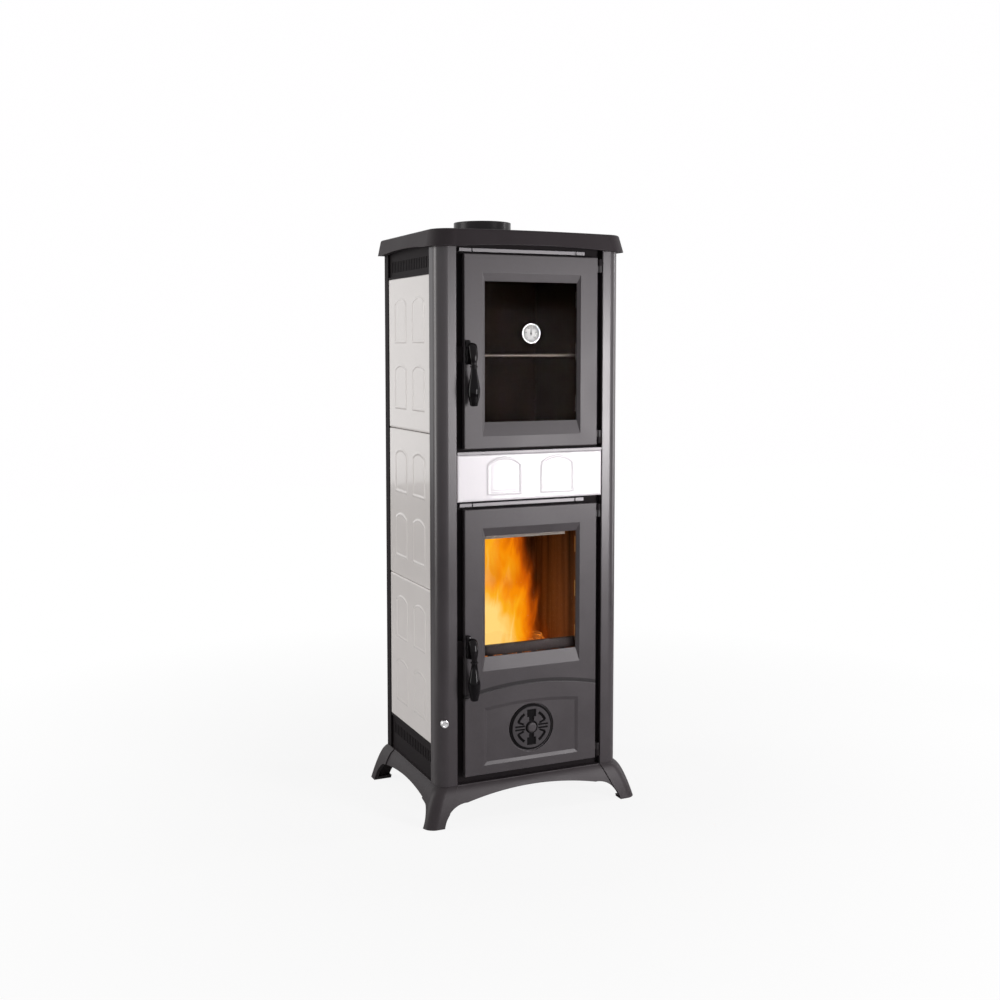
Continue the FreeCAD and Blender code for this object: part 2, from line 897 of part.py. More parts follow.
# ---------------------------------------------------- inside the firebox ----
def hearth_plate():
    """The cast firebox floor, with the opening that the grate covers."""
    half = shell_inner - brick_gap
    plate = block((-half, half), (frame_back, shell_back_inner), (hearth_bottom, hearth_top))
    opening = block(
        (-hearth_opening_half, hearth_opening_half),
        (hearth_opening_front, hearth_opening_back),
        (hearth_bottom - 1, hearth_top + 1),
    )
    return plate.cut(opening)


def side_brick():
    """The left refractory wall of the firebox."""
    left = -shell_inner + brick_gap
    setbacks = (frame_back + guard_thickness + brick_behind_guard, shell_back_inner)
    return block((left, left + brick_thickness), setbacks, (hearth_top, brick_top))


def rear_brick():
    """The refractory wall at the back of the firebox, between the side walls."""
    half = shell_inner - brick_thickness - 2 * brick_gap
    setbacks = (shell_back_inner - brick_thickness, shell_back_inner)
    return block((-half, half), setbacks, (hearth_top, brick_top))


def flame_baffle():
    """The baffle that rests on the bricks and leaves the smoke a way up at the front."""
    half = shell_inner - brick_gap
    setbacks = (frame_back + baffle_front_gap, shell_back_inner)
    return block((-half, half), setbacks, (brick_top, brick_top + baffle_thickness))


def log_guard():
    """The cast grating that keeps logs off the glass."""
    half = opening_half_width + guard_side
    setbacks = (frame_back, frame_back + guard_thickness)
    guard = block((-half, half), setbacks, (hearth_top, guard_top))
    pitch = 2 * (half - guard_side) / guard_slot_count
    gap_zs = (hearth_top + guard_foot, guard_top - guard_head)
    for i in range(guard_slot_count):
        left = -half + guard_side + pitch * i + guard_bar / 2
        gap = block((left, left + pitch - guard_bar), (frame_back - 1, setbacks[1] + 1), gap_zs)
        guard = guard.cut(gap)
    return guard


def ash_drawer():
    """A folded steel drawer on its runners, with a pull at the front."""
    half = opening_half_width - drawer_side_gap
    bottom = ash_opening_bottom
    front = frame_back + drawer_front_gap
    back = shell_back_inner - drawer_back_gap
    outer = block((-half, half), (front, back), (bottom, bottom + drawer_height))
    inner = block(
        (-half + drawer_wall, half - drawer_wall),
        (front + drawer_wall, back - drawer_wall),
        (bottom + drawer_wall, bottom + drawer_height + 1),
    )
    pull_z = bottom + drawer_height / 2
    pull_xs = (-drawer_pull_half, drawer_pull_half)
    tip = front - drawer_pull_reach
    pull = block(pull_xs, (tip, front), (pull_z - drawer_pull_thickness, pull_z))
    edge = block(pull_xs, (tip, tip + drawer_pull_thickness), (pull_z - drawer_pull_drop, pull_z))
    return fused([outer.cut(inner), pull, edge])


# ---------------------------------------------------- the grate and rod ----
def grate_front():
    """The setback of the grate's front edge at rest."""
    return (hearth_opening_front + hearth_opening_back - grate_length) / 2 + grate_travel / 2


def fire_grate():
    """The cast grate: bars in a frame, resting on the hearth plate."""
    front = grate_front()
    zs = (hearth_top + turning_gap, hearth_top + turning_gap + grate_thickness)
    grate = block((-grate_half_width, grate_half_width), (front, front + grate_length), zs)
    inside = 2 * (grate_half_width - grate_border)
    pitch = inside / grate_bars
    for i in range(grate_bars):
        left = -grate_half_width + grate_border + pitch * (i + 0.2)
        slot_ends = (front + grate_border, front + grate_length - grate_border)
        slot = block((left, left + pitch * 0.6), slot_ends, (zs[0] - 1, zs[1] + 1))
        grate = grate.cut(slot)
    return grate


def arm_places():
    """The cross arm's height span, and where its pin meets the grate."""
    top = hearth_bottom - ledge_height - 1
    pin_left = -hearth_opening_half + 2
    return (top - arm_thickness, top), (pin_left, pin_left + arm_thickness)


def shaker_rod():
    """The rod from the knob, cranked inside the post, with an arm across to the grate."""
    crank = (crank_setback, crank_setback + 2 * rod_radius)
    crank_zs = (rod_height - rod_radius, rod_height + rod_radius)
    rod_end = rod_guide_setback + rod_guide_length + rod_tail
    arm_zs, pin_xs = arm_places()
    arm_ys = (arm_setback - arm_width / 2, arm_setback + arm_width / 2)
    pieces = [
        bar_along_y(rod_radius, knob_x, rod_height, (-knob_standoff, crank[1])),
        block((knob_x - rod_radius, rod_x + rod_radius), crank, crank_zs),
        bar_along_y(rod_radius, rod_x, rod_height, (crank[0], rod_end)),
        block((rod_x - rod_radius, rod_x + rod_radius), arm_ys, (arm_zs[0], rod_height)),
        block((rod_x - rod_radius, pin_xs[1]), arm_ys, arm_zs),
        block(pin_xs, arm_ys, (arm_zs[0], hearth_top + turning_gap)),
    ]
    return fused(pieces)


def shaker_knob():
    """The bright turned knob on the rod's end."""
    setbacks = (-knob_standoff - knob_length, -knob_standoff)
    knob = bar_along_y(knob_radius, knob_x, rod_height, setbacks)
    round_edges = [e for e in knob.Edges if len(e.Vertexes) == 1]
    knob = knob.makeFillet(knob_round, round_edges)
    dimple_run = (setbacks[0] - 1, setbacks[0] + knob_dimple)
    dimple = bar_along_y(knob_radius - 2 * knob_round, knob_x, rod_height, dimple_run)
    return knob.cut(dimple)


# -------------------------------------------------------------- the doors ----
def window_bevel(zs):
    """The sloping reveal round a door's window, as the block that it removes."""
    bottom, top = zs
    outer = [
        (-bevel_outer_half, bottom - window_sill_bevel),
        (-bevel_outer_half, top + window_top_bevel),
        (bevel_outer_half, top + window_top_bevel),
        (bevel_outer_half, bottom - window_sill_bevel),
    ]
    inner = rectangle(window_half_width, zs)
    wires = [
        outline(outer, facing(-door_proud)),
        outline(inner, facing(-door_proud + window_bevel_depth)),
    ]
    return Part.makeLoft(wires, True, True)


def front_edges(shape, setback):
    """The shape's straight edges in the plane of a setback."""
    plane_y = y_at(setback)
    return [e for e in shape.Edges if all(abs(v.Point.y - plane_y) < 0.01 for v in e.Vertexes)]


def door_lugs(door_zs):
    """A door's two hinge lugs, bored to run on the pins."""
    lugs = []
    web_half = hinge_lug_radius - 2
    for _, lug_zs in hinge_spans(*door_zs):
        lug = upright(hinge_lug_radius, hinge_x, hinge_setback, lug_zs)
        web = block((door_half - 1, hinge_x), (hinge_setback - web_half, hinge_setback + web_half), lug_zs)
        hole = upright(hinge_pin_radius + running_fit, hinge_x, hinge_setback, lug_zs)
        lugs.append(lug.fuse(web).cut(hole))
    return lugs


def door_blank(door_zs, window_zs, handle_height):
    """A door casting with its window, glass pocket, handle bore and hinge lugs."""
    blank = block((-door_half, door_half), (-door_proud, door_back), door_zs)
    blank = blank.makeFillet(door_edge_round, front_edges(blank, -door_proud))
    blank = blank.cut(window_bevel(window_zs))
    blank = blank.cut(cut_out(rectangle(window_half_width, window_zs), (-door_proud, door_back + 1)))
    pocket_zs = (window_zs[0] - glass_overlap, window_zs[1] + glass_overlap)
    pocket = cut_out(rectangle(pocket_half, pocket_zs), (door_back - glass_thickness, door_back + 1))
    blank = blank.cut(pocket)
    through = (-door_proud - 1, door_back + 1)
    blank = blank.cut(bar_along_y(handle_shaft_radius + running_fit, handle_x, handle_height, through))
    return fused([blank] + door_lugs(door_zs))


def arch_band(shoulder, crown, half, thickness):
    """A thin band that follows an arch, seen from the front."""
    return [
        (-half, shoulder - thickness),
        (-half, shoulder),
        ((0, crown), (half, shoulder)),
        (half, shoulder - thickness),
        ((0, crown - thickness), (-half, shoulder - thickness)),
    ]


def panel_rim(inset, setback):
    """The outline of the fire door's lower panel, drawn in by an inset, at a setback."""
    half, bottom, shoulder = panel_half_width - inset, panel_bottom + inset, panel_shoulder - inset
    arch = ((0, shoulder + panel_rise), (half, shoulder))
    return outline([(-half, bottom), (-half, shoulder), arch, (half, bottom)], facing(setback))


def rosette_window(turn):
    """One radial air slot, turned about the rosette's centre."""
    half = rosette_slot_width / 2
    steps = [
        (-half, rosette_height + rosette_slot_inner),
        (-half, rosette_height + rosette_slot_outer),
        (half, rosette_height + rosette_slot_outer),
        (half, rosette_height + rosette_slot_inner),
    ]
    slot = cut_out(steps, (-2 * door_proud, door_back + 1))
    slot.rotate(FreeCAD.Vector(0, 0, rosette_height), FreeCAD.Vector(0, 1, 0), turn)
    return slot


def fire_door_casting():
    """The fire door: window, arched groove, lower panel and the rosette's seat with its air slots."""
    window_zs = (fire_window_bottom, fire_window_top)
    door = door_blank((fire_door_bottom, fire_door_top), window_zs, fire_handle_height)
    face = -door_proud
    band = arch_band(groove_shoulder, groove_shoulder + groove_rise, door_half + 1, groove_width)
    groove = cut_out(band, (face - 1, face + groove_depth))
    panel = Part.makeLoft([panel_rim(0, face), panel_rim(panel_slope, face + panel_depth)], True, True)
    seat_radius = rosette_radius + rosette_seat_gap
    seat = bar_along_y(seat_radius, 0, rosette_height, (face - 1, face + rosette_seat_depth))
    bolt_hole = bar_along_y(rosette_bolt_radius, 0, rosette_height, (face - 1, door_back + 1))
    door = door.cut(groove).cut(panel).cut(seat).cut(bolt_hole)
    for i in range(rosette_slots):
        door = door.cut(rosette_window(360.0 / rosette_slots * i))
    return door


def door_glass(window_zs):
    """A pane of heat-resisting glass in a door's pocket."""
    half = pocket_half - glass_slack
    zs = (window_zs[0] - glass_overlap + glass_slack, window_zs[1] + glass_overlap - glass_slack)
    return block((-half, half), (door_back - glass_thickness, door_back), zs)


def oven_door_glass():
    """The oven door's pane, bored for the thermometer's stem."""
    glass = door_glass((oven_window_bottom, oven_window_top))
    bore = bar_along_y(thermometer_stem, thermometer_offset, thermometer_height, (0, door_back + 1))
    return glass.cut(bore)


def glass_clips(window_zs):
    """Six steel clips that hold the pane, each with a screw head."""
    clips = []
    left = window_half_width + 2
    xs = (left, left + clip_width)
    span = window_zs[1] - window_zs[0]
    for share in (0.12, 0.5, 0.88):
        z = window_zs[0] + span * share
        zs = (z - clip_length / 2, z + clip_length / 2)
        clip = block(xs, (door_back, door_back + clip_thickness), zs)
        head_x = pocket_half + screw_radius * 0.5
        setbacks = (door_back + clip_thickness, door_back + clip_thickness + screw_head_height)
        head = bar_along_y(screw_radius, head_x, z, setbacks)
        clips += both_sides(clip.fuse(head))
    return clips


def door_rope(door_zs):
    """The heat-resisting rope round a door's back, pressed flat against the frame."""
    outer_half = door_half - rope_inset
    outer_zs = (door_zs[0] + rope_end_inset, door_zs[1] - rope_end_inset)
    inner_zs = (outer_zs[0] + rope_width, outer_zs[1] - rope_width)
    setbacks = (door_back, frame_setback - rope_gap)
    outer = block((-outer_half, outer_half), setbacks, outer_zs)
    inner_half = outer_half - rope_width
    inner = block((-inner_half, inner_half), (setbacks[0] - 1, setbacks[1] + 1), inner_zs)
    return outer.cut(inner)


def rosette_pad(index):
    """One raised pad of the air disc, between two slots."""
    half_angle = math.radians(rosette_pad_angle / 2)
    sideways, upward = math.sin(half_angle), math.cos(half_angle)
    steps = [
        (-rosette_pad_inner * sideways, rosette_height + rosette_pad_inner * upward),
        (-rosette_pad_outer * sideways, rosette_height + rosette_pad_outer * upward),
        ((0, rosette_height + rosette_pad_outer),
         (rosette_pad_outer * sideways, rosette_height + rosette_pad_outer * upward)),
        (rosette_pad_inner * sideways, rosette_height + rosette_pad_inner * upward),
    ]
    pad = cut_out(steps, (rosette_face, rosette_face + rosette_pad_height))
    turn = 360.0 / rosette_slots * (index + 0.5)
    pad.rotate(FreeCAD.Vector(0, 0, rosette_height), FreeCAD.Vector(0, 1, 0), turn)
    return pad


def air_rosette():
    """The turning air disc: slots, raised pads between them and a raised rim."""
    back = rosette_face + rosette_thickness
    disc = bar_along_y(rosette_radius, 0, rosette_height, (rosette_face, back))
    dish_run = (rosette_face - 1, rosette_face + rosette_pad_height)
    dish = bar_along_y(rosette_radius - rosette_rim, 0, rosette_height, dish_run)
    disc = fused([disc.cut(dish)] + [rosette_pad(i) for i in range(rosette_slots)])
    for i in range(rosette_slots):
        disc = disc.cut(rosette_window(360.0 / rosette_slots * i))
    bore_radius = rosette_bolt_radius + running_fit
    return disc.cut(bar_along_y(bore_radius, 0, rosette_height, (rosette_face - 1, back + 1)))


def rosette_bolt():
    """The domed bolt that the rosette turns on, through the door, with its nut."""
    face = rosette_face - turning_gap
    shank = bar_along_y(rosette_bolt_radius, 0, rosette_height, (face, door_back + nut_height))
    head = bar_along_y(rosette_boss_radius, 0, rosette_height, (face - rosette_boss_height, face))
    front_y = y_at(face - rosette_boss_height)
    rim = [e for e in head.Edges if len(e.Vertexes) == 1 and abs(e.Vertexes[0].Point.y - front_y) < 0.01]
    head = head.makeFillet(rosette_boss_height * 0.8, rim)
    nut_run = (door_back, door_back + nut_height)
    nut = bar_along_y(rosette_bolt_radius + nut_margin, 0, rosette_height, nut_run)
    return fused([head, shank, nut])


# ------------------------------------------------------------- the handles ----
def handle_lever(height):
    """The cast lever: shaft through the door, tapered plate, and a scrolled arm out to the grip."""
    back = -door_proud - handle_standoff
    front = back - handle_plate_thickness
    shaft_end = door_back + pawl_gap + pawl_thickness
    shaft = bar_along_y(handle_shaft_radius, handle_x, height, (front, shaft_end))
    left = handle_x - handle_inset
    plate_steps = [
        (left, height - handle_plate_drop),
        (left, height + handle_plate_rise),
        (left + handle_plate_top_width, height + handle_plate_rise),
        (left + handle_plate_foot_width, height - handle_plate_drop),
    ]
    plate = cut_out(plate_steps, (front, back))
    neck_top = height - handle_neck_drop
    near, far = -grip_forward + grip_neck_radius, -grip_forward - grip_neck_radius
    arm_steps = [
        (front, height + handle_scroll_radius),
        ((far + handle_arm_bow, height - handle_scroll_radius), (far, neck_top)),
        (near, neck_top),
        ((near + handle_arm_hollow, height - handle_arm_foot), (front, height - handle_arm_root)),
    ]
    arm_left = handle_x - handle_arm_width / 2
    arm = Part.Face(outline(arm_steps, lambda s, z: FreeCAD.Vector(arm_left, y_at(s), z)))
    arm = arm.extrude(FreeCAD.Vector(handle_arm_width, 0, 0))
    scroll_z = height + handle_scroll_radius
    scroll = bar_along_x(handle_scroll_radius, (arm_left, arm_left + handle_arm_width), front, scroll_z)
    ahead_of_door = block((arm_left - 1, handle_x + handle_arm_width), (far, back), (height, 2 * scroll_z))
    scroll = scroll.common(ahead_of_door)
    return fused([shaft, plate, arm, scroll])


def handle_grip(height):
    """The turned gloss grip that hangs from the lever: a slim neck, a full belly and a round end."""
    top = height - handle_neck_drop
    belly = top - grip_belly_drop
    bottom = top - grip_length
    middle_y = y_at(-grip_forward)
    profile_steps = [
        (0, top),
        (grip_neck_radius, top),
        ((grip_neck_radius + 2.2, top - grip_length * 0.25), (grip_belly_radius, belly)),
        ((grip_end_radius + 2.6, bottom + grip_length * 0.2), (grip_end_radius, bottom + 4)),
        ((grip_end_radius - 1.2, bottom + 1.2), (grip_end_radius - 4, bottom)),
        (0, bottom),
    ]
    wire = outline(profile_steps, lambda r, z: FreeCAD.Vector(handle_x + r, middle_y, z))
    return Part.Face(wire).revolve(FreeCAD.Vector(handle_x, middle_y, 0), FreeCAD.Vector(0, 0, 1), 360)


def latch_pawl(height):
    """The steel pawl on the shaft's inner end, pointing up when the grip hangs down."""
    setbacks = (door_back + pawl_gap, door_back + pawl_gap + pawl_thickness)
    half = pawl_width / 2
    eye = bar_along_y(handle_shaft_radius + 3, handle_x, height, setbacks)
    tongue = block((handle_x - half, handle_x + half), setbacks, (height, height + pawl_length))
    bore = bar_along_y(handle_shaft_radius, handle_x, height, (setbacks[0] - 1, setbacks[1] + 1))
    return eye.fuse(tongue).removeSplitter().cut(bore)


# --------------------------------------------------------------- the tiles ----
def side_relief(centre_setback, bottom):
    """An arched raised frame on a left tile's outer face."""
    def drawn(inset):
        width, height = relief_width - 2 * inset, relief_height - 2 * inset
        steps = arch_steps(centre_setback, bottom + inset, width, height, relief_rise)
        face = Part.Face(outline(steps, lambda s, z: FreeCAD.Vector(-tile_outer, y_at(s), z)))
        return face.extrude(FreeCAD.Vector(-relief_proud, 0, 0))
    return drawn(0).cut(drawn(relief_rim))


def side_tile(index):
    """One left tile, counted from the bottom, with two rows of two arched reliefs."""
    bottom = tiles_bottom + tile_pitch * index
    top = bottom + tile_pitch - (tile_joint if index < tile_count - 1 else 0)
    tile = block((-tile_outer, -tile_inner), (tile_front, tile_back), (bottom, top))
    middle = (tile_front + tile_back) / 2 - relief_forward
    centre = (bottom + top) / 2
    reliefs = []
    for row in (-0.5, 0.5):
        for column in (-0.5, 0.5):
            low = centre + row * relief_pitch - relief_height / 2
            reliefs.append(side_relief(middle + column * relief_spacing, low))
    return fused([tile] + reliefs)


def front_relief(centre):
    """An arched raised frame on the front tile."""
    low = front_tile_bottom + front_panel_foot
    def drawn(inset):
        width, height = front_panel_width - 2 * inset, front_panel_height - 2 * inset
        return cut_out(arch_steps(centre, low + inset, width, height, front_panel_rise), (-relief_proud, 0))
    return drawn(0).cut(drawn(relief_rim))


def front_tile():
    """The wide tile between the two doors, with two arched raised frames."""
    tile = block((-post_face, post_face), (0, tile_thickness), (front_tile_bottom, front_tile_top))
    frames = [front_relief(side * front_panel_spacing / 2) for side in (-1, 1)]
    return fused([tile] + frames)


def front_tile_clips():
    """Four pads between the front tile and the steel frame."""
    clips = []
    xs = (-post_face + clip_length, -post_face + 2 * clip_length)
    for z in (front_tile_bottom + clip_width, front_tile_top - 2 * clip_width):
        clips += both_sides(block(xs, (tile_thickness, frame_setback), (z, z + clip_width)))
    return clips


def side_tile_frame():
    """The left tile frame: two uprights behind the tiles' edges, a ledge below and a cap above."""
    inner = tile_inner - frame_bar
    zs = (tiles_bottom - frame_bar, tiles_top + frame_bar)
    xs = (-tile_inner, -inner)
    front_bar = block(xs, (post_size, post_size + frame_bar_width), zs)
    back_edge = body_depth - back_post_depth
    back_bar = block(xs, (back_edge - frame_bar_width, back_edge), zs)
    ledge = block((-tile_outer, -inner), (post_size, back_edge), (zs[0], tiles_bottom))
    cap = block((-tile_outer, -inner), (post_size, back_edge), (tiles_top, zs[1]))
    return fused([front_bar, back_bar, ledge, cap])


def side_vent(bottom, height, slot_foot):
    """A left vent panel: dark steel with a row of upright slots."""
    slot_bottom = bottom + slot_foot
    xs = (-half_width + vent_inset, -half_width + vent_inset + vent_thickness)
    setbacks = (post_size, body_depth - back_post_depth)
    panel = block(xs, setbacks, (bottom, bottom + height))
    room = setbacks[1] - setbacks[0] - 2 * vent_slot_pitch
    count = int(room / vent_slot_pitch)
    start = (setbacks[0] + setbacks[1] - (count - 1) * vent_slot_pitch) / 2
    for i in range(count):
        middle = start + i * vent_slot_pitch
        slot = block(
            (xs[0] - 1, xs[1] + 1),
            (middle - vent_slot_width / 2, middle + vent_slot_width / 2),
            (slot_bottom, slot_bottom + vent_slot_height),
        )
        panel = panel.cut(slot)
    return panel


# ---------------------------------------------------------------- the oven ----
def oven_box():
    """The oven's steel lining, open at the front, with a runner each side for the shelf."""
    wall = oven_wall
    back = frame_back + oven_depth
    half = oven_half_width + wall
    outer = block((-half, half), (frame_back, back), (oven_bottom - wall, oven_top + wall))
    inner_xs = (-oven_half_width, oven_half_width)
    inner = block(inner_xs, (frame_back - 1, back - wall), (oven_bottom, oven_top))
    runner = block(
        (-oven_half_width, -oven_half_width + runner_size),
        (frame_back + runner_setback, back - wall),
        (shelf_height - shelf_frame_wire - runner_size, shelf_height - shelf_frame_wire),
    )
    return fused([outer.cut(inner)] + both_sides(runner))


def oven_shelf():
    """A chromed wire shelf that rests on the runners."""
    half = oven_half_width - shelf_frame_wire - shelf_gap
    front = frame_back + shelf_setback
    back = frame_back + oven_depth - oven_wall - shelf_frame_wire - shelf_gap
    z = shelf_height
    wires = [
        bar_along_x(shelf_frame_wire, (-half, half), front, z),
        bar_along_x(shelf_frame_wire, (-half, half), back, z),
        bar_along_y(shelf_frame_wire, -half, z, (front, back)),
        bar_along_y(shelf_frame_wire, half, z, (front, back)),
    ]
    for x, setback in ((-half, front), (half, front), (-half, back), (half, back)):
        wires.append(Part.makeSphere(shelf_frame_wire, FreeCAD.Vector(x, y_at(setback), z)))
    pitch = 2 * half / (shelf_wires + 1)
    for i in range(shelf_wires):
        wires.append(bar_along_y(shelf_wire, -half + pitch * (i + 1), z, (front, back)))
    return fused(wires)


# ------------------------------------------------------- the thermometer ----
def thermometer_case():
    """The dial case in front of the glass, its stem, its nut and its probe."""
    x, z = thermometer_offset, thermometer_height
    glass_front = door_back - glass_thickness
    face = glass_front - thermometer_thickness
    case = bar_along_y(thermometer_radius, x, z, (face, glass_front))
    dial = bar_along_y(thermometer_face, x, z, (face - 1, face + thermometer_recess))
    stem = bar_along_y(thermometer_stem, x, z, (glass_front, door_back + thermometer_probe))
    nut = bar_along_y(thermometer_nut, x, z, (door_back, door_back + nut_height))
    hole_end = face + thermometer_recess + needle_bearing + turning_gap
    shaft_hole = bar_along_y(needle_shaft + running_fit, x, z, (face, hole_end))
    return fused([case.cut(dial), stem, nut]).cut(shaft_hole)


def thermometer_needle():
    """The needle and its arbor, which turns in the case."""
    x, z = thermometer_offset, thermometer_height
    floor = door_back - glass_thickness - thermometer_thickness + thermometer_recess
    setbacks = (floor - turning_gap - needle_thickness, floor - turning_gap)
    half = needle_width / 2
    tip = needle_width / 6
    blade_steps = [
        (x - half, z - needle_tail),
        (x - tip, z + needle_length),
        (x + tip, z + needle_length),
        (x + half, z - needle_tail),
    ]
    blade = cut_out(blade_steps, setbacks)
    hub = bar_along_y(2 * half, x, z, setbacks)
    arbor = bar_along_y(needle_shaft, x, z, (setbacks[0], floor + needle_bearing))
    return fused([blade, hub, arbor])


# ------------------------------------------------------------- the rear ----
def rear_panel():
    """The rear heat shield behind the body, with slots at its foot and head."""
    back = body_depth - back_post_wall
    half = half_width - shield_inset
    panel = block((-half, half), (back - shield_thickness, back), (base_height, body_height))
    count = int(2 * (half - shield_slot_height) / shield_slot_pitch)
    start = -(count - 1) * shield_slot_pitch / 2
    for bottom in (base_height + shield_slot_foot, body_height - shield_slot_head):
        for i in range(count):
            x = start + i * shield_slot_pitch
            slot = block(
                (x - shield_slot_width / 2, x + shield_slot_width / 2),
                (back - shield_thickness - 1, back + 1),
                (bottom, bottom + shield_slot_height),
            )
            panel = panel.cut(slot)
    return panel


def rear_panel_screws():
    """Eight pan heads that hold the shield to the rear posts."""
    x = -half_width + back_post_leg / 2
    setbacks = (body_depth, body_depth + screw_head_height)
    span = body_height - base_height - 2 * shield_screw_inset
    heads = []
    for i in range(shield_screws):
        z = base_height + shield_screw_inset + span * i / (shield_screws - 1)
        heads += both_sides(bar_along_y(screw_head_radius, x, z, setbacks))
    return heads


# ------------------------------------------------------------- every piece ----
def front_posts():
    """The two front posts; the left one is bored for the shaking rod."""
    left = front_left_post()
    bore = bar_along_y(rod_radius + running_fit, knob_x, rod_height, (-1, post_corner))
    return left.cut(bore), mirrored(left)


def rail():
    """The narrow rail on the front tile's upper edge, under the oven door."""
    setbacks = (-rail_proud, frame_setback)
    return block((-post_face, post_face), setbacks, (rail_bottom, rail_bottom + rail_height))


save("base_casting", base_casting())
left_post, right_post = front_posts()
save("front_left_post", left_post)
save("front_right_post", right_post)
save("rear_left_post", back_left_post())
save("rear_right_post", mirrored(back_left_post()))
save("top_plate", top_plate())
save("flue_collar", flue_collar())
save("flue_collar_screws", flue_collar_screws())

for index, level in enumerate(("lower", "middle", "upper")):
    tile = side_tile(index)
    save("left_tile_" + level, tile)
    save("right_tile_" + level, mirrored(tile))
save("left_tile_frame", side_tile_frame())
save("right_tile_frame", mirrored(side_tile_frame()))
lower_vent = side_vent(base_height, lower_vent_height, lower_slot_foot)
upper_vent = side_vent(tiles_top + frame_bar, upper_vent_height, upper_slot_foot)
save("left_lower_vent", lower_vent)
save("right_lower_vent", mirrored(lower_vent))
save("left_upper_vent", upper_vent)
save("right_upper_vent", mirrored(upper_vent))
save("front_tile", front_tile())
save("front_tile_clips", front_tile_clips())
save("front_tile_rail", rail())

save("front_frame", front_frame())
save("hinge_pins", hinge_pins())
save("lower_air_strip", air_strip(lower_strip_bottom))
save("upper_air_strip", air_strip(upper_strip_bottom))
save("inner_shell", inner_shell())
save("rear_panel", rear_panel())
save("rear_panel_screws", rear_panel_screws())

save("hearth_plate", hearth_plate())
save("firebrick_left", side_brick())
save("firebrick_right", mirrored(side_brick()))
save("firebrick_rear", rear_brick())
save("flame_baffle", flame_baffle())
save("log_guard", log_guard())
save("ash_drawer", ash_drawer())
save("fire_grate", fire_grate())
save("shaker_rod", shaker_rod())
save("shaker_knob", shaker_knob())
save("oven_box", oven_box())
save("oven_shelf", oven_shelf())

fire_window = (fire_window_bottom, fire_window_top)
oven_window = (oven_window_bottom, oven_window_top)
save("fire_door_casting", fire_door_casting())
save("fire_door_glass", door_glass(fire_window))
save("fire_glass_clips", glass_clips(fire_window))
save("fire_door_rope", door_rope((fire_door_bottom, fire_door_top)))
save("air_rosette", air_rosette())
save("rosette_bolt", rosette_bolt())
save("fire_handle_lever", handle_lever(fire_handle_height))
save("fire_handle_grip", handle_grip(fire_handle_height))
save("fire_latch_pawl", latch_pawl(fire_handle_height))

save("oven_door_casting", door_blank((oven_door_bottom, oven_door_top), oven_window, oven_handle_height))
save("oven_door_glass", oven_door_glass())
save("oven_glass_clips", glass_clips(oven_window))
save("oven_door_rope", door_rope((oven_door_bottom, oven_door_top)))
save("oven_handle_lever", handle_lever(oven_handle_height))
save("oven_handle_grip", handle_grip(oven_handle_height))
save("oven_latch_pawl", latch_pawl(oven_handle_height))
save("thermometer_case", thermometer_case())
save("thermometer_needle", thermometer_needle())
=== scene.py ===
import math

import bmesh
import bpy
import numpy as np
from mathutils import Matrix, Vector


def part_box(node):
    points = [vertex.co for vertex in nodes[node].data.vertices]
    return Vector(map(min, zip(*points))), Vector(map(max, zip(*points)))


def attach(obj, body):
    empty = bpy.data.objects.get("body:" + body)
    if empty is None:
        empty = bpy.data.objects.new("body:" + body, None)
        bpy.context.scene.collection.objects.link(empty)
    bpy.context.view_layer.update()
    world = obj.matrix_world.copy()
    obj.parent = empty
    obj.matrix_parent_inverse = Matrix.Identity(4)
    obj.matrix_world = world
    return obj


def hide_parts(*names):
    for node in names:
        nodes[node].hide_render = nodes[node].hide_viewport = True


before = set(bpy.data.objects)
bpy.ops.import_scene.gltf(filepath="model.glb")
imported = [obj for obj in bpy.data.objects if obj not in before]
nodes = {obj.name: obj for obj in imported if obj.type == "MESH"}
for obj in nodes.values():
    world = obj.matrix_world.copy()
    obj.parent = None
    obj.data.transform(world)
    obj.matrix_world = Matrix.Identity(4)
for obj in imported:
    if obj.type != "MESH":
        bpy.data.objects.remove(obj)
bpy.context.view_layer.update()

# The photographer's viewpoint: the stove seen from its front left, a metre above the floor. The
# camera looks a little down, and a small shift lowers its frame to the stove.
lens = bpy.data.cameras.new("photo_camera")
lens.sensor_width = 36.0
lens.lens = 44.528
lens.shift_y = -0.0611
viewpoint = bpy.data.objects.new("photo_camera", lens)
viewpoint.location = (-1.1140, -2.4633, 0.9804)
viewpoint.rotation_euler = (math.radians(85.8), 0.0, math.radians(-24.226))
bpy.context.collection.objects.link(viewpoint)
bpy.context.scene.camera = viewpoint
bpy.context.scene.view_settings.view_transform = "Standard"


def feed(tree, node, inputs):
    """Sets a node's inputs by name or place, each to a value or to another node's output."""
    for key, value in inputs.items():
        if isinstance(value, bpy.types.NodeSocket):
            tree.links.new(value, node.inputs[key])
        else:
            node.inputs[key].default_value = value


def add(tree, kind, inputs=None, **settings):
    """A shader node with its settings and its inputs."""
    made = tree.nodes.new("ShaderNode" + kind)
    for key, value in settings.items():
        setattr(made, key, value)
    feed(tree, made, inputs or {})
    return made


def mix(tree, share, first, second):
    """A mix of two colours by the second's share, each a tuple or another node's output."""
    first, second = ((*c, 1) if isinstance(c, tuple) else c for c in (first, second))
    return add(tree, "MixRGB", {"Fac": share, 1: first, 2: second}).outputs[0]


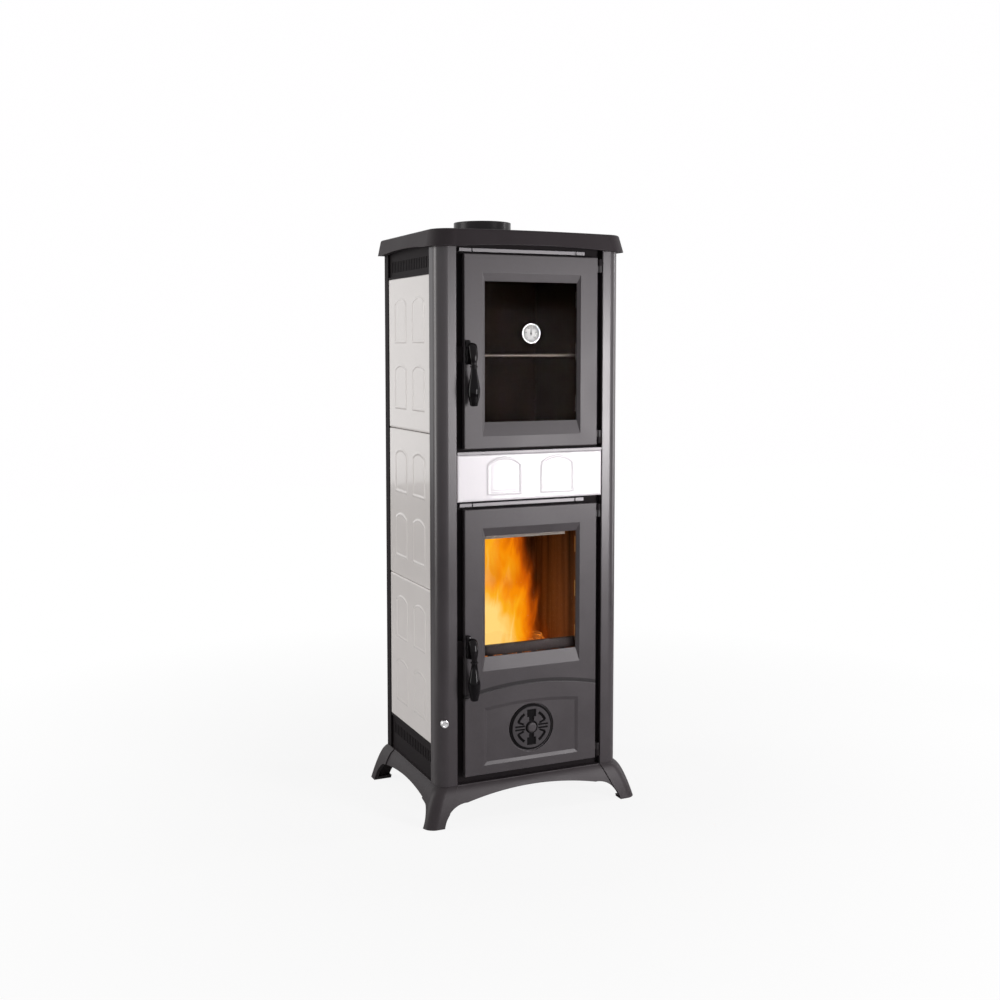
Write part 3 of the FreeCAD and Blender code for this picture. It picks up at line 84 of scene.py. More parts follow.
# The studio: a white room that lights softly, a soft box in front on the right at half the stove's
# height, a tall strip on the right, whose reflection runs down the right post's rounded corner, and
# a broad box on the left.
room_light = 0.16
world = bpy.data.worlds.new("white_room")
world.use_nodes = True
bpy.context.scene.world = world
room = world.node_tree
room.nodes.clear()
ray = add(room, "LightPath")
seen = add(room, "Math", {0: ray.outputs["Is Camera Ray"], 1: ray.outputs["Is Glossy Ray"]},
           operation="MAXIMUM")
seen = add(room, "Math", {0: seen.outputs[0], 1: ray.outputs["Is Transmission Ray"]}, operation="MAXIMUM")
level = add(room, "MapRange", {"Value": seen.outputs[0], "To Min": room_light, "To Max": 1.0})
sky = add(room, "Background", {"Color": (1.0, 0.995, 1.0, 1.0), "Strength": level.outputs[0]})
add(room, "OutputWorld", {"Surface": sky.outputs[0]})

soft_boxes = [
    ("front_soft_box", (1.22, -2.30, 0.74), (0.0, 0.0, 0.75), 0.62, 0.80, 41.0, (1.0, 0.962, 0.985)),
    ("right_strip", (1.60, -0.25, 0.90), (0.0, 0.0, 0.85), 0.20, 1.4, 7.0, (1.0, 0.97, 0.985)),
    ("left_soft_box", (-2.20, 0.75, 1.10), (-0.1, 0.0, 0.6), 0.9, 1.9, 24.0, (1.0, 0.975, 0.96)),
]
for name, place, target, width, height, power, colour in soft_boxes:
    lamp = bpy.data.lights.new(name, "AREA")
    lamp.shape = "RECTANGLE"
    lamp.size, lamp.size_y = width, height
    lamp.energy = power
    lamp.color = colour
    stand = bpy.data.objects.new(name, lamp)
    stand.location = place
    away = np.array(place) - np.array(target)
    turn = math.atan2(away[0], -away[1])
    lift = math.atan2(math.hypot(away[0], away[1]), away[2])
    stand.rotation_euler = (lift, 0.0, turn)
    bpy.context.collection.objects.link(stand)


# The floor: a wide pale sheet that catches the stove's soft shadow at its feet and, to the camera,
# turns to plain white farther out.
def grid_faces(rows, columns, wrap_rows=False, wrap_columns=False):
    """Quads of a grid of points, whose last row or column may be joined to its first."""
    row = np.arange(rows if wrap_rows else rows - 1)[:, None]
    column = np.arange(columns if wrap_columns else columns - 1)[None, :]
    below, beside = (row + 1) % rows, (column + 1) % columns
    corners = [row * columns + column, row * columns + beside,
               below * columns + beside, below * columns + column]
    return np.stack(np.broadcast_arrays(*corners), -1).reshape(-1, 4).tolist()


def border(grid):
    """What lies round the edge of a grid, once and in order."""
    return np.concatenate([grid[0, :-1], grid[:-1, -1], grid[-1, :0:-1], grid[:0:-1, 0]])


def new_object(name, points, faces, material):
    """An object at the origin from an array of points and a list of polygons."""
    mesh = bpy.data.meshes.new(name)
    mesh.from_pydata(np.asarray(points, float).reshape(-1, 3).tolist(), [], faces)
    mesh.polygons.foreach_set("use_smooth", np.ones(len(mesh.polygons), bool))
    mesh.materials.append(material)
    mesh.update()
    made = bpy.data.objects.new(name, mesh)
    bpy.context.collection.objects.link(made)
    return made


pale = bpy.data.materials.new("pale_floor")
pale.use_nodes = True
tree = pale.node_tree
tree.nodes.clear()
ray = add(tree, "LightPath")
speck = add(tree, "TexNoise", {"Scale": 3.0, "Detail": 3.0})
shade = mix(tree, speck.outputs["Fac"], (0.93, 0.93, 0.935), (0.96, 0.96, 0.96))
matt = add(tree, "BsdfDiffuse", {"Color": shade})
white = add(tree, "Emission", {"Color": (1, 1, 1, 1), "Strength": 1.0})
far_off = add(tree, "VectorMath", {0: add(tree, "TexCoord").outputs["Object"]}, operation="LENGTH")
fading = add(tree, "MapRange", {"Value": far_off.outputs["Value"], "From Min": 0.5, "From Max": 1.7,
                                "To Min": 0.88, "To Max": 1.0})
share = add(tree, "Math", {0: ray.outputs["Is Camera Ray"], 1: fading.outputs[0]}, operation="MULTIPLY")
both = add(tree, "MixShader", {0: share.outputs[0], 1: matt.outputs[0], 2: white.outputs[0]})
add(tree, "OutputMaterial", {"Surface": both.outputs[0]})

across = np.linspace(-6.0, 6.0, 13)
along = np.linspace(-5.0, 6.0, 12)
sweep = np.stack(np.broadcast_arrays(across[None, :], along[:, None], 0.0 * across[None, :]), -1)
floor = new_object("floor", sweep, grid_faces(12, 13), pale)


# The iron castings: base, posts, top plate, hearth, log guard and grate, cast in sand and sprayed
# with matt stove paint, which is a little lighter where it wears thin on the edges.
def new_group(name, inputs, outputs):
    """A shader node group, its input node and its output node."""
    tree = bpy.data.node_groups.new(name, "ShaderNodeTree")
    for label, kind, value in inputs:
        socket = tree.interface.new_socket(name=label, in_out="INPUT", socket_type="NodeSocket" + kind)
        socket.default_value = value
    for label, kind in outputs:
        tree.interface.new_socket(name=label, in_out="OUTPUT", socket_type="NodeSocket" + kind)
    return tree, tree.nodes.new("NodeGroupInput"), tree.nodes.new("NodeGroupOutput")


sand_skin, given, result = new_group(
    "Sand Skin",
    [("Vector", "Vector", (0, 0, 0)), ("Grain", "Float", 520.0), ("Mottle", "Float", 9.0)],
    [("Tone", "Float"), ("Height", "Float")],
)
cloud = add(sand_skin, "TexNoise", {"Vector": given.outputs["Vector"], "Scale": given.outputs["Mottle"],
                                    "Detail": 5.0, "Roughness": 0.62})
pits = add(sand_skin, "TexNoise", {"Vector": given.outputs["Vector"], "Scale": given.outputs["Grain"],
                                   "Detail": 3.0, "Roughness": 0.6})
both = add(sand_skin, "Math", {0: pits.outputs["Fac"], 1: 0.35, 2: cloud.outputs["Fac"]},
           operation="MULTIPLY_ADD")
tone = add(sand_skin, "MapRange", {"Value": both.outputs[0], "From Min": 0.42, "From Max": 0.95})
feed(sand_skin, result, {"Tone": tone.outputs[0], "Height": pits.outputs["Fac"]})

worn_edge, given, result = new_group(
    "Worn Edge",
    [("Vector", "Vector", (0, 0, 0)), ("Radius", "Float", 0.0015), ("Patch", "Float", 45.0)],
    [("Mask", "Float"), ("Normal", "Vector")],
)
rounded = add(worn_edge, "Bevel", {"Radius": given.outputs["Radius"]}, samples=4)
flat = add(worn_edge, "NewGeometry")
same = add(worn_edge, "VectorMath", {0: rounded.outputs[0], 1: flat.outputs["Normal"]},
           operation="DOT_PRODUCT")
edge = add(worn_edge, "MapRange", {"Value": same.outputs["Value"], "From Min": 0.995, "From Max": 0.86})
patch = add(worn_edge, "TexNoise", {"Vector": given.outputs["Vector"], "Scale": given.outputs["Patch"],
                                    "Detail": 3.0})
mask = add(worn_edge, "Math", {0: edge.outputs[0], 1: patch.outputs["Fac"]}, operation="MULTIPLY")
feed(worn_edge, result, {"Mask": mask.outputs[0], "Normal": rounded.outputs[0]})


def new_material(name):
    """A material, its node tree, its shader and the object's coordinates."""
    material = bpy.data.materials.new(name)
    material.use_nodes = True
    tree = material.node_tree
    return material, tree, tree.nodes["Principled BSDF"], add(tree, "TexCoord").outputs["Object"]


def painted(name, dark, light, edge, rough, bump, grain=520.0, metal=0.0, specular=0.5, radius=0.0015):
    """Paint over metal: two mottled tones, a worn edge colour, and a fine sanded bump."""
    material, tree, face, here = new_material(name)
    skin = add(tree, "Group", {"Vector": here, "Grain": grain}, node_tree=sand_skin)
    wear = add(tree, "Group", {"Vector": here, "Radius": radius}, node_tree=worn_edge)
    body = mix(tree, skin.outputs["Tone"], dark, light)
    colour = mix(tree, wear.outputs["Mask"], body, edge)
    dull = add(tree, "MapRange", {"Value": skin.outputs["Tone"], "To Min": rough[0], "To Max": rough[1]})
    relief = add(tree, "Bump", {"Strength": bump, "Distance": 0.0004, "Height": skin.outputs["Height"],
                                "Normal": wear.outputs["Normal"]})
    feed(tree, face, {"Base Color": colour, "Roughness": dull.outputs[0],
                      "Normal": relief.outputs[0], "Metallic": metal, "Specular IOR Level": specular})
    return material


def finish_nodes(material, *names):
    """Gives CAD nodes a material in place of their packed one."""
    for name in names:
        for place in nodes[name].material_slots:
            place.material = material


black_iron = painted("black_iron", (0.026, 0.021, 0.023), (0.042, 0.035, 0.038), (0.14, 0.125, 0.13),
                     (0.36, 0.48), 0.22, specular=0.22)
post_iron = painted("post_iron", (0.030, 0.024, 0.027), (0.042, 0.035, 0.039), (0.15, 0.14, 0.145),
                    (0.27, 0.33), 0.05, specular=0.56)
plate_iron = painted("plate_iron", (0.024, 0.019, 0.021), (0.036, 0.030, 0.033), (0.12, 0.11, 0.115),
                     (0.50, 0.62), 0.22, specular=0.16)
finish_nodes(black_iron, "base_casting", "hearth_plate", "log_guard", "fire_grate")
finish_nodes(plate_iron, "top_plate")
finish_nodes(post_iron, "front_left_post", "front_right_post")

# The flue collar: a short cast ring on the plate, glossier than the plate, held by three screws.
collar_iron = painted("collar_iron", (0.020, 0.018, 0.020), (0.032, 0.029, 0.031), (0.2, 0.2, 0.2),
                      (0.24, 0.34), 0.10, specular=0.16)
finish_nodes(collar_iron, "flue_collar")

# The sheet-steel parts: rear posts, rear panel, tile frames, vents, front frame, shell, ash drawer
# and hinge pins, painted matt black and smoother than the castings. The air strips are greyer.
sheet_black = painted("sheet_black", (0.012, 0.010, 0.011), (0.018, 0.015, 0.016), (0.07, 0.065, 0.07),
                      (0.55, 0.65), 0.06, grain=900.0, specular=0.07, radius=0.0008)
finish_nodes(sheet_black, "rear_left_post", "rear_right_post", "rear_panel", "left_tile_frame",
             "right_tile_frame", "left_lower_vent", "right_lower_vent", "left_upper_vent",
             "right_upper_vent", "front_frame", "inner_shell", "ash_drawer", "hinge_pins")
strip_grey = painted("strip_grey", (0.13, 0.125, 0.13), (0.17, 0.165, 0.17), (0.32, 0.31, 0.32),
                     (0.32, 0.42), 0.05, grain=900.0, metal=0.35, specular=0.5, radius=0.0008)
finish_nodes(strip_grey, "lower_air_strip", "upper_air_strip", "front_tile_rail")

# The small steel: zinc-plated screws, clips, latch pawls and shaker rod, the shaker's chromed knob,
# and the darker wire of the oven shelf.
zinc = painted("zinc_plate", (0.42, 0.42, 0.43), (0.56, 0.55, 0.54), (0.70, 0.70, 0.70),
               (0.26, 0.40), 0.05, grain=1400.0, metal=1.0, radius=0.0004)
finish_nodes(zinc, "flue_collar_screws", "rear_panel_screws", "front_tile_clips", "fire_glass_clips",
             "oven_glass_clips", "fire_latch_pawl", "oven_latch_pawl", "shaker_rod")
chrome = painted("polished_chrome", (0.74, 0.74, 0.75), (0.80, 0.80, 0.80), (0.9, 0.9, 0.9),
                 (0.05, 0.10), 0.01, grain=700.0, metal=1.0, radius=0.0005)
finish_nodes(chrome, "shaker_knob")
shelf_wire = painted("shelf_wire", (0.10, 0.085, 0.07), (0.16, 0.14, 0.12), (0.2, 0.2, 0.2),
                     (0.3, 0.4), 0.02, grain=900.0, metal=0.8, radius=0.0004)
finish_nodes(shelf_wire, "oven_shelf")

# The doors: flat iron castings with a bevelled window opening, painted dark grey, finer than the
# base. The rosette's bolt has the same paint.
door_iron = painted("door_iron", (0.046, 0.040, 0.043), (0.066, 0.059, 0.063), (0.19, 0.18, 0.185),
                    (0.34, 0.43), 0.14, specular=0.32)
finish_nodes(door_iron, "fire_door_casting", "oven_door_casting", "rosette_bolt")

# Painted shade lies in the arched groove across the lower door, and the hinge lugs are painted black as the
# shade of the hinge gap.
tree = door_iron.node_tree
face = tree.nodes["Principled BSDF"]
paint = face.inputs["Base Color"].links[0].from_socket
here = add(tree, "TexCoord").outputs["Object"]
groove_bow, groove_top, groove_half, lug_side = 0.6652, 0.280, 0.0032, 0.1536
door_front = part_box("fire_door_casting")[0][1]
from_centre = add(tree, "VectorMath", {0: here, 1: (0.0, door_front, groove_top - groove_bow)},
                  operation="DISTANCE")
off_groove = add(tree, "Math", {0: from_centre.outputs["Value"], 1: groove_bow}, operation="SUBTRACT")
off_groove = add(tree, "Math", {0: off_groove.outputs[0]}, operation="ABSOLUTE")
# The groove's painted shade: near black along the arc, fading over a band either side.
groove_shade = add(tree, "MapRange", {"Value": off_groove.outputs[0], "From Min": groove_half,
                                "From Max": 1.6 * groove_half, "To Min": 0.85, "To Max": 0.0})
place = add(tree, "SeparateXYZ", {0: here})
# Past lug_side the hinge lugs take a painted shade, near black, for the shade of the hinge gap.
lug_shade = add(tree, "Math", {0: place.outputs["X"], 1: lug_side}, operation="GREATER_THAN")
painted_shade = add(tree, "Math", {0: groove_shade.outputs[0], 1: lug_shade.outputs[0]}, operation="MAXIMUM")
colour = mix(tree, painted_shade.outputs[0], paint, (0.008, 0.006, 0.007))
feed(tree, face, {"Base Color": colour})


# The door glasses: clear heat-resisting glass, each clamped inside its door.
def clear_glass(name, colour, rough):
    """Thin glass that lets light almost straight through, faintly tinted and smeared."""
    material, tree, face, here = new_material(name)
    smear = add(tree, "TexNoise", {"Vector": here, "Scale": 14.0, "Detail": 2.0})
    tint = mix(tree, smear.outputs["Fac"], colour, tuple(c * 0.96 for c in colour))
    dull = add(tree, "MapRange", {"Value": smear.outputs["Fac"], "To Min": rough, "To Max": rough + 0.02})
    feed(tree, face, {"Base Color": tint, "Roughness": dull.outputs[0],
                      "Transmission Weight": 1.0, "IOR": 1.03})
    return material


finish_nodes(clear_glass("door_glass", (0.96, 0.93, 0.90), 0.0), "fire_door_glass", "oven_door_glass")


# The glazed tiles: pressed stoneware slabs with arched raised frames, dipped in a glossy off-white
# glaze that softens every edge. Six on the sides, three to a side, and one across the front.
def outwards(mesh_object):
    """Merges a closed piece's points that coincide, and turns its faces outwards."""
    work = bmesh.new()
    work.from_mesh(mesh_object.data)
    bmesh.ops.remove_doubles(work, verts=work.verts, dist=1e-7)
    bmesh.ops.recalc_face_normals(work, faces=work.faces)
    work.to_mesh(mesh_object.data)
    work.free()
    return mesh_object


def glaze(name, dark, light, rough):
    """Glossy glaze: two near whites in soft clouds, and a slow ripple in the surface."""
    material, tree, face, here = new_material(name)
    cloud = add(tree, "TexNoise", {"Vector": here, "Scale": 11.0, "Detail": 4.0})
    ripple = add(tree, "TexNoise", {"Vector": here, "Scale": 38.0, "Detail": 2.0})
    colour = mix(tree, cloud.outputs["Fac"], dark, light)
    dull = add(tree, "MapRange", {"Value": cloud.outputs["Fac"], "To Min": rough, "To Max": rough + 0.06})
    relief = add(tree, "Bump", {"Strength": 0.12, "Distance": 0.001, "Height": ripple.outputs["Fac"]})
    feed(tree, face, {"Base Color": colour, "Roughness": dull.outputs[0],
                      "Normal": relief.outputs[0], "Coat Weight": 0.6, "Coat Roughness": 0.05})
    return material


def inside_arch(u, v, centre, bottom, width, height, rise):
    """How far a point is inside an arched panel: the least distance to its sides, foot and arc."""
    bow = ((width / 2) ** 2 + rise ** 2) / (2 * rise)
    arc = bow - np.hypot(u - centre, v - (bottom + height - bow))
    sides = width / 2 - np.abs(u - centre)
    return np.minimum(np.minimum(sides, v - bottom), arc)


def glazed_slab(u_ends, v_ends, thickness, panels, proud, step=0.0018):
    """A tile as grid points (u, v, height): a flat back, and a face that is the slab's thickness, less a
    quarter round at the rim, plus a bell-shaped bead of the proud height just inside each panel's
    outline, and a smooth step up to a fifth of it on the panel's field."""
    rim_drop, rim_width = 0.0014, 0.003
    bead_inset, bead_width = 0.0024, 0.0017
    field_inset, field_width = 0.007, 0.0012
    columns = int((u_ends[1] - u_ends[0]) / step)
    rows = int((v_ends[1] - v_ends[0]) / step)
    u, v = np.meshgrid(np.linspace(*u_ends, columns), np.linspace(*v_ends, rows))
    rim = np.minimum(np.minimum(u - u_ends[0], u_ends[1] - u), np.minimum(v - v_ends[0], v_ends[1] - v))
    height = thickness - rim_drop * np.clip(1 - rim / rim_width, 0, 1) ** 2
    for panel in panels:
        depth = inside_arch(u, v, *panel)
        height = height + proud * np.exp(-((depth - bead_inset) / bead_width) ** 2)
        height = height + 0.2 * proud / (1 + np.exp(-(depth - field_inset) / field_width))
    shell = np.stack([u, v, height], -1)
    back = border(shell)
    back[:, 2] = 0.0
    edge = border(np.arange(rows * columns).reshape(rows, columns))
    start, count = rows * columns, len(edge)
    following = np.roll(np.arange(count), -1)
    skirt = np.stack([edge, edge[following], start + following, start + np.arange(count)], -1).tolist()
    faces = grid_faces(rows, columns) + skirt + [list(range(start, start + count))]
    return np.concatenate([shell.reshape(-1, 3), back]), faces


side_glaze = glaze("side_tile_glaze", (0.80, 0.765, 0.745), (0.86, 0.825, 0.80), 0.16)
front_glaze = glaze("front_tile_glaze", (0.80, 0.78, 0.80), (0.86, 0.84, 0.86), 0.30)
relief_width, relief_height, relief_rise = 0.072, 0.096, 0.011
relief_spacing, relief_pitch, relief_forward = 0.109, 0.142, 0.005
relief_proud = 0.0015
for side, turn in (("left", -1), ("right", 1)):
    for level in ("lower", "middle", "upper"):
        tile = side + "_tile_" + level
        low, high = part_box(tile)
        middle = (low[1] + high[1]) / 2 - relief_forward
        foot = (low[2] + high[2] - relief_pitch - relief_height) / 2
        panels = [
            (middle + across, foot + up, relief_width, relief_height, relief_rise)
            for across in (-relief_spacing / 2, relief_spacing / 2)
            for up in (0.0, relief_pitch)
        ]
        thick = high[0] - low[0] - relief_proud
        points, faces = glazed_slab((low[1], high[1]), (low[2], high[2]), thick, panels, relief_proud)
        inner = high[0] if turn < 0 else low[0]
        placed = np.stack([inner + turn * points[:, 2], points[:, 0], points[:, 1]], -1)
        slab = outwards(new_object(tile + "_glazed", placed, faces, side_glaze))
        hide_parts(tile)
        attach(slab, "range_body")

front_foot, front_aside, front_arch = 0.012, 0.061, (0.078, 0.078, 0.015)
low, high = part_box("front_tile")
middle = (low[0] + high[0]) / 2
panels = [(middle + across, low[2] + front_foot, *front_arch) for across in (-front_aside, front_aside)]
thick = high[1] - low[1] - relief_proud
points, faces = glazed_slab((low[0], high[0]), (low[2], high[2]), thick, panels, relief_proud)
placed = np.stack([points[:, 0], high[1] - points[:, 2], points[:, 1]], -1)
slab = outwards(new_object("front_tile_glazed", placed, faces, front_glaze))
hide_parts("front_tile")
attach(slab, "range_body")


# The door ropes: dark glass-fibre cord plaited from three strands and pressed into the groove
# behind each door, which it seals.
def fibre(name, dark, light):
    """Matt fibre yarn: fine threads across the strand as a bump, and two dark tones."""
    material, tree, face, here = new_material(name)
    thread = add(tree, "TexNoise", {"Vector": here, "Scale": 900.0, "Detail": 2.0})
    soot = add(tree, "TexNoise", {"Vector": here, "Scale": 30.0, "Detail": 3.0})
    colour = mix(tree, soot.outputs["Fac"], dark, light)
    dull = add(tree, "MapRange", {"Value": thread.outputs["Fac"], "To Min": 0.8, "To Max": 1.0})
    relief = add(tree, "Bump", {"Strength": 0.6, "Distance": 0.0005, "Height": thread.outputs["Fac"]})
    feed(tree, face, {"Base Color": colour, "Roughness": dull.outputs[0],
                      "Normal": relief.outputs[0]})
    return material


def rounded_loop(low, high, radius, count):
    """Points evenly spaced round a rounded rectangle: straight runs joined by quarter arcs. Also the
    heading at each point, and the loop's length."""
    width, height = high[0] - low[0], high[1] - low[1]
    quarter = math.pi * radius / 2
    runs = np.array([width - 2 * radius, quarter, height - 2 * radius, quarter] * 2)
    ends = np.concatenate([[0.0], np.cumsum(runs)])
    along = np.linspace(0.0, ends[-1], count, endpoint=False)
    part = np.searchsorted(ends, along, side="right") - 1
    rest = along - ends[part]
    heading = np.array([0, 0, 1, 1, 2, 2, 3, 3])[part] * math.pi / 2
    starts = np.array([
        (low[0] + radius, low[1]), (high[0] - radius, low[1]),
        (high[0], low[1] + radius), (high[0], high[1] - radius),
        (high[0] - radius, high[1]), (low[0] + radius, high[1]),
        (low[0], high[1] - radius), (low[0], low[1] + radius),
    ])[part]
    bend = np.where(part % 2 == 1, rest / radius, 0.0)
    straight = np.where(part % 2 == 0, rest, 0.0)
    chord = radius * np.stack([np.sin(bend), 1 - np.cos(bend)], -1)
    ahead, aside = straight + chord[:, 0], chord[:, 1]
    cos, sin = np.cos(heading), np.sin(heading)
    points = starts + np.stack([ahead * cos - aside * sin, ahead * sin + aside * cos], -1)
    return points, heading + bend, ends[-1]


rope_yarn = fibre("rope_yarn", (0.045, 0.042, 0.040), (0.11, 0.105, 0.10))
rope_half, rope_bend, strand_radius, plait_length = 0.005, 0.012, 0.0024, 0.026
rope_steps, strand_sides = 1200, 10
for door in ("fire", "oven"):
    low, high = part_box(door + "_door_rope")
    deep = (high[1] - low[1]) / 2
    line, heading, length = rounded_loop(
        (low[0] + rope_half, low[2] + rope_half), (high[0] - rope_half, high[2] - rope_half),
        rope_bend, rope_steps)
    plaits = round(length / plait_length)
    phase = np.linspace(0.0, 2 * math.pi * plaits, rope_steps, endpoint=False)
    spin = np.linspace(0.0, 2 * math.pi, strand_sides, endpoint=False)
    out = np.stack([np.sin(heading), -np.cos(heading)], -1)
    strands, faces = [], []
    for turn in range(3):
        sway = (rope_half - strand_radius) * np.sin(phase + 2 * math.pi * turn / 3)
        rise = (deep - strand_radius) * np.sin(2 * (phase + 2 * math.pi * turn / 3))
        reach = sway[:, None] + strand_radius * np.cos(spin)
        x = line[:, 0, None] + out[:, 0, None] * reach
        z = line[:, 1, None] + out[:, 1, None] * reach
        y = (low[1] + high[1]) / 2 + rise[:, None] + strand_radius * np.sin(spin)
        strands.append(np.stack([x, y, z], -1).reshape(-1, 3))
        start = turn * rope_steps * strand_sides
        faces += (np.array(grid_faces(rope_steps, strand_sides, True, True)) + start).tolist()
    rope = outwards(new_object(door + "_door_plait", np.concatenate(strands), faces, rope_yarn))
    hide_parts(door + "_door_rope")
    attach(rope, door + "_door")


# The handles: a cast lever in gloss black enamel, with a scalloped plate against the door and an
# arm that swells out to the neck, and a turned gloss black grip under a narrow collar.
def through(knots, count):
    """A smooth line through knots: the Catmull-Rom cubic of each four neighbours in turn."""
    knots = np.asarray(knots, float)
    padded = np.concatenate([[2 * knots[0] - knots[1]], knots, [2 * knots[-1] - knots[-2]]])
    place = np.linspace(0.0, len(knots) - 1, count)
    first = np.minimum(place.astype(int), len(knots) - 2)
    t = (place - first)[:, None]
    a, b, c, d = (padded[first + step] for step in range(4))
    cubic = (2 * b + (c - a) * t + (2 * a - 5 * b + 4 * c - d) * t ** 2
             + (3 * b - a - 3 * c + d) * t ** 3)
    return 0.5 * cubic


def turned(profile, count=48):
    """A lathe form as (rows, columns, 3) points: a profile of radius and height carried round Z."""
    spin = np.linspace(0.0, 2 * math.pi, count, endpoint=False)
    radius, height = profile[:, 0, None], profile[:, 1, None]
    height = np.broadcast_to(height, (len(profile), count))
    return np.stack([radius * np.cos(spin), radius * np.sin(spin), height], -1)


def turned_facing(profile, count, x, z):
    """A lathe form round an axis along Y through x and z, its profile's height being Y."""
    rings = turned(profile, count)
    return np.stack([x + rings[..., 0], rings[..., 2], z + rings[..., 1]], -1)


def closed_tube(rings, start=0):
    """Faces of a tube of closed rings, with a cap on its first and its last ring."""
    rows, columns = rings.shape[:2]
    faces = np.array(grid_faces(rows, columns, False, True)) + start
    last = start + (rows - 1) * columns
    caps = [list(range(start, start + columns)), list(range(last, last + columns))]
    return faces.tolist() + caps


def joined(parts):
    """The points and faces of several closed tubes as one mesh."""
    points, faces, start = [], [], 0
    for rings in parts:
        points.append(rings.reshape(-1, 3))
        faces += closed_tube(rings, start)
        start += rings.shape[0] * rings.shape[1]
    return np.concatenate(points), faces


gloss_black = painted("gloss_black_enamel", (0.006, 0.005, 0.006), (0.010, 0.008, 0.009),
                      (0.04, 0.04, 0.04), (0.06, 0.11), 0.03, specular=0.11, radius=0.001)
grip_resin = painted("grip_resin", (0.004, 0.0035, 0.004), (0.007, 0.006, 0.007), (0.015, 0.015, 0.015),
                     (0.04, 0.07), 0.02, grain=300.0, specular=0.10, radius=0.0006)
# Radius and drop of the grip, and radius and height of the collar, each as a lathe's profile.
grip_knots = [(0.0060, 0.0), (0.0062, 0.004), (0.0071, 0.012), (0.0091, 0.024), (0.0113, 0.036),
              (0.0124, 0.044), (0.0125, 0.050), (0.0117, 0.058), (0.0100, 0.066), (0.0088, 0.0715),
              (0.0084, 0.0745), (0.0076, 0.0772), (0.0050, 0.0786), (0.0001, 0.0790)]
collar_knots = [(0.0058, 0.0), (0.0074, 0.0004), (0.0080, 0.0016), (0.0074, 0.0030), (0.0058, 0.0034)]
# The scalloped plate's rim round the pivot, and for each of its layers the share of the rim's width
# and how far it lies behind the plate's front. Then the arm's half width and half thickness.
plate_knots = [(-0.0115, 0.024), (-0.0055, 0.0248), (-0.0015, 0.022), (-0.0022, 0.013), (0.0030, 0.006),
               (0.0058, -0.002), (0.0040, -0.010), (0.0078, -0.017), (0.0080, -0.023),
               (0.0015, -0.0258), (-0.0060, -0.024), (-0.0112, -0.0215), (-0.0096, -0.012),
               (-0.0117, -0.003), (-0.0100, 0.006), (-0.0117, 0.015), (-0.0115, 0.024)]
plate_layers = [(1.00, 0.007), (1.00, 0.002), (0.97, 0.0007), (0.88, 0.0), (0.5, -0.0004)]
arm_girths = [(0.0080, 0.0050), (0.0090, 0.0060), (0.0090, 0.0070), (0.0082, 0.0066), (0.0060, 0.0054),
              (0.0058, 0.0058)]
pivot_rise, plate_behind = 0.030, 0.012
for door in ("fire", "oven"):
    low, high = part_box(door + "_handle_grip")
    x, y = (low[0] + high[0]) / 2, (low[1] + high[1]) / 2
    top, bottom = high[2], low[2]
    profile = through(grip_knots, 60) * (1.0, -1.0) + (0.0, top)
    rings = turned(np.clip(profile, (0.0001, bottom), (0.0125, top))) + (x, y, 0.0)
    points, faces = joined([rings])
    grip = outwards(new_object(door + "_grip_turned", points, faces, grip_resin))
    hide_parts(door + "_handle_grip")
    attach(grip, door + "_handle")

    points, faces = joined([turned(through(collar_knots, 16)) + (x, y, top - 0.0006)])
    collar = outwards(new_object(door + "_handle_collar", points, faces, gloss_black))
    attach(collar, door + "_handle")

    low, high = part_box(door + "_handle_lever")
    pivot = top + pivot_rise
    face = y + plate_behind
    rim = through(plate_knots, 97)[:-1]
    centre = rim.mean(0)
    plate = np.stack([
        np.stack([x + centre[0] + share * (rim[:, 0] - centre[0]), np.full(len(rim), face + depth),
                  pivot + centre[1] + share * (rim[:, 1] - centre[1])], -1)
        for share, depth in plate_layers
    ])
    spine = through([(face + 0.004, 0.012), (face - 0.004, 0.013), (face - 0.0085, 0.006),
                     (y - 0.0002, -0.010), (y, -0.021), (y, -0.030)], 40)
    girth = through(arm_girths, 40)
    run = np.gradient(spine, axis=0)
    run /= np.hypot(run[:, 0], run[:, 1])[:, None]
    spin = np.linspace(0.0, 2 * math.pi, 28, endpoint=False)
    wide, thick = girth[:, 0, None] * np.cos(spin), girth[:, 1, None] * np.sin(spin)
    arm = np.stack([x + wide, spine[:, 0, None] - run[:, 1, None] * thick,
                    pivot + spine[:, 1, None] + run[:, 0, None] * thick], -1)
    shaft_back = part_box(door + "_latch_pawl")[1][1]
    shaft_line = np.array([(0.0040, face + 0.003), (0.0040, shaft_back - 0.0006), (0.0034, shaft_back)])
    points, faces = joined([plate, arm, turned_facing(shaft_line, 24, x, pivot)])
    points = np.clip(points, np.array(low), np.array(high))
    lever = outwards(new_object(door + "_lever_cast", points, faces, gloss_black))
    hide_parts(door + "_handle_lever")
    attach(lever, door + "_handle")

# The air rosette: a round iron slide in the fire door, turned to let air in. Its cast pattern of blocks,
# bars and hooks is cut about three millimetres deep, and the cuts are painted near black as shade.
low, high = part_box("air_rosette")
radius = (high[0] - low[0]) / 2
middle = ((low[0] + high[0]) / 2, (low[2] + high[2]) / 2)


def smooth(value, edge):
    """0 below zero and 1 above, eased over an edge's width."""
    t = np.clip(value / edge + 0.5, 0, 1)
    return t * t * (3 - 2 * t)


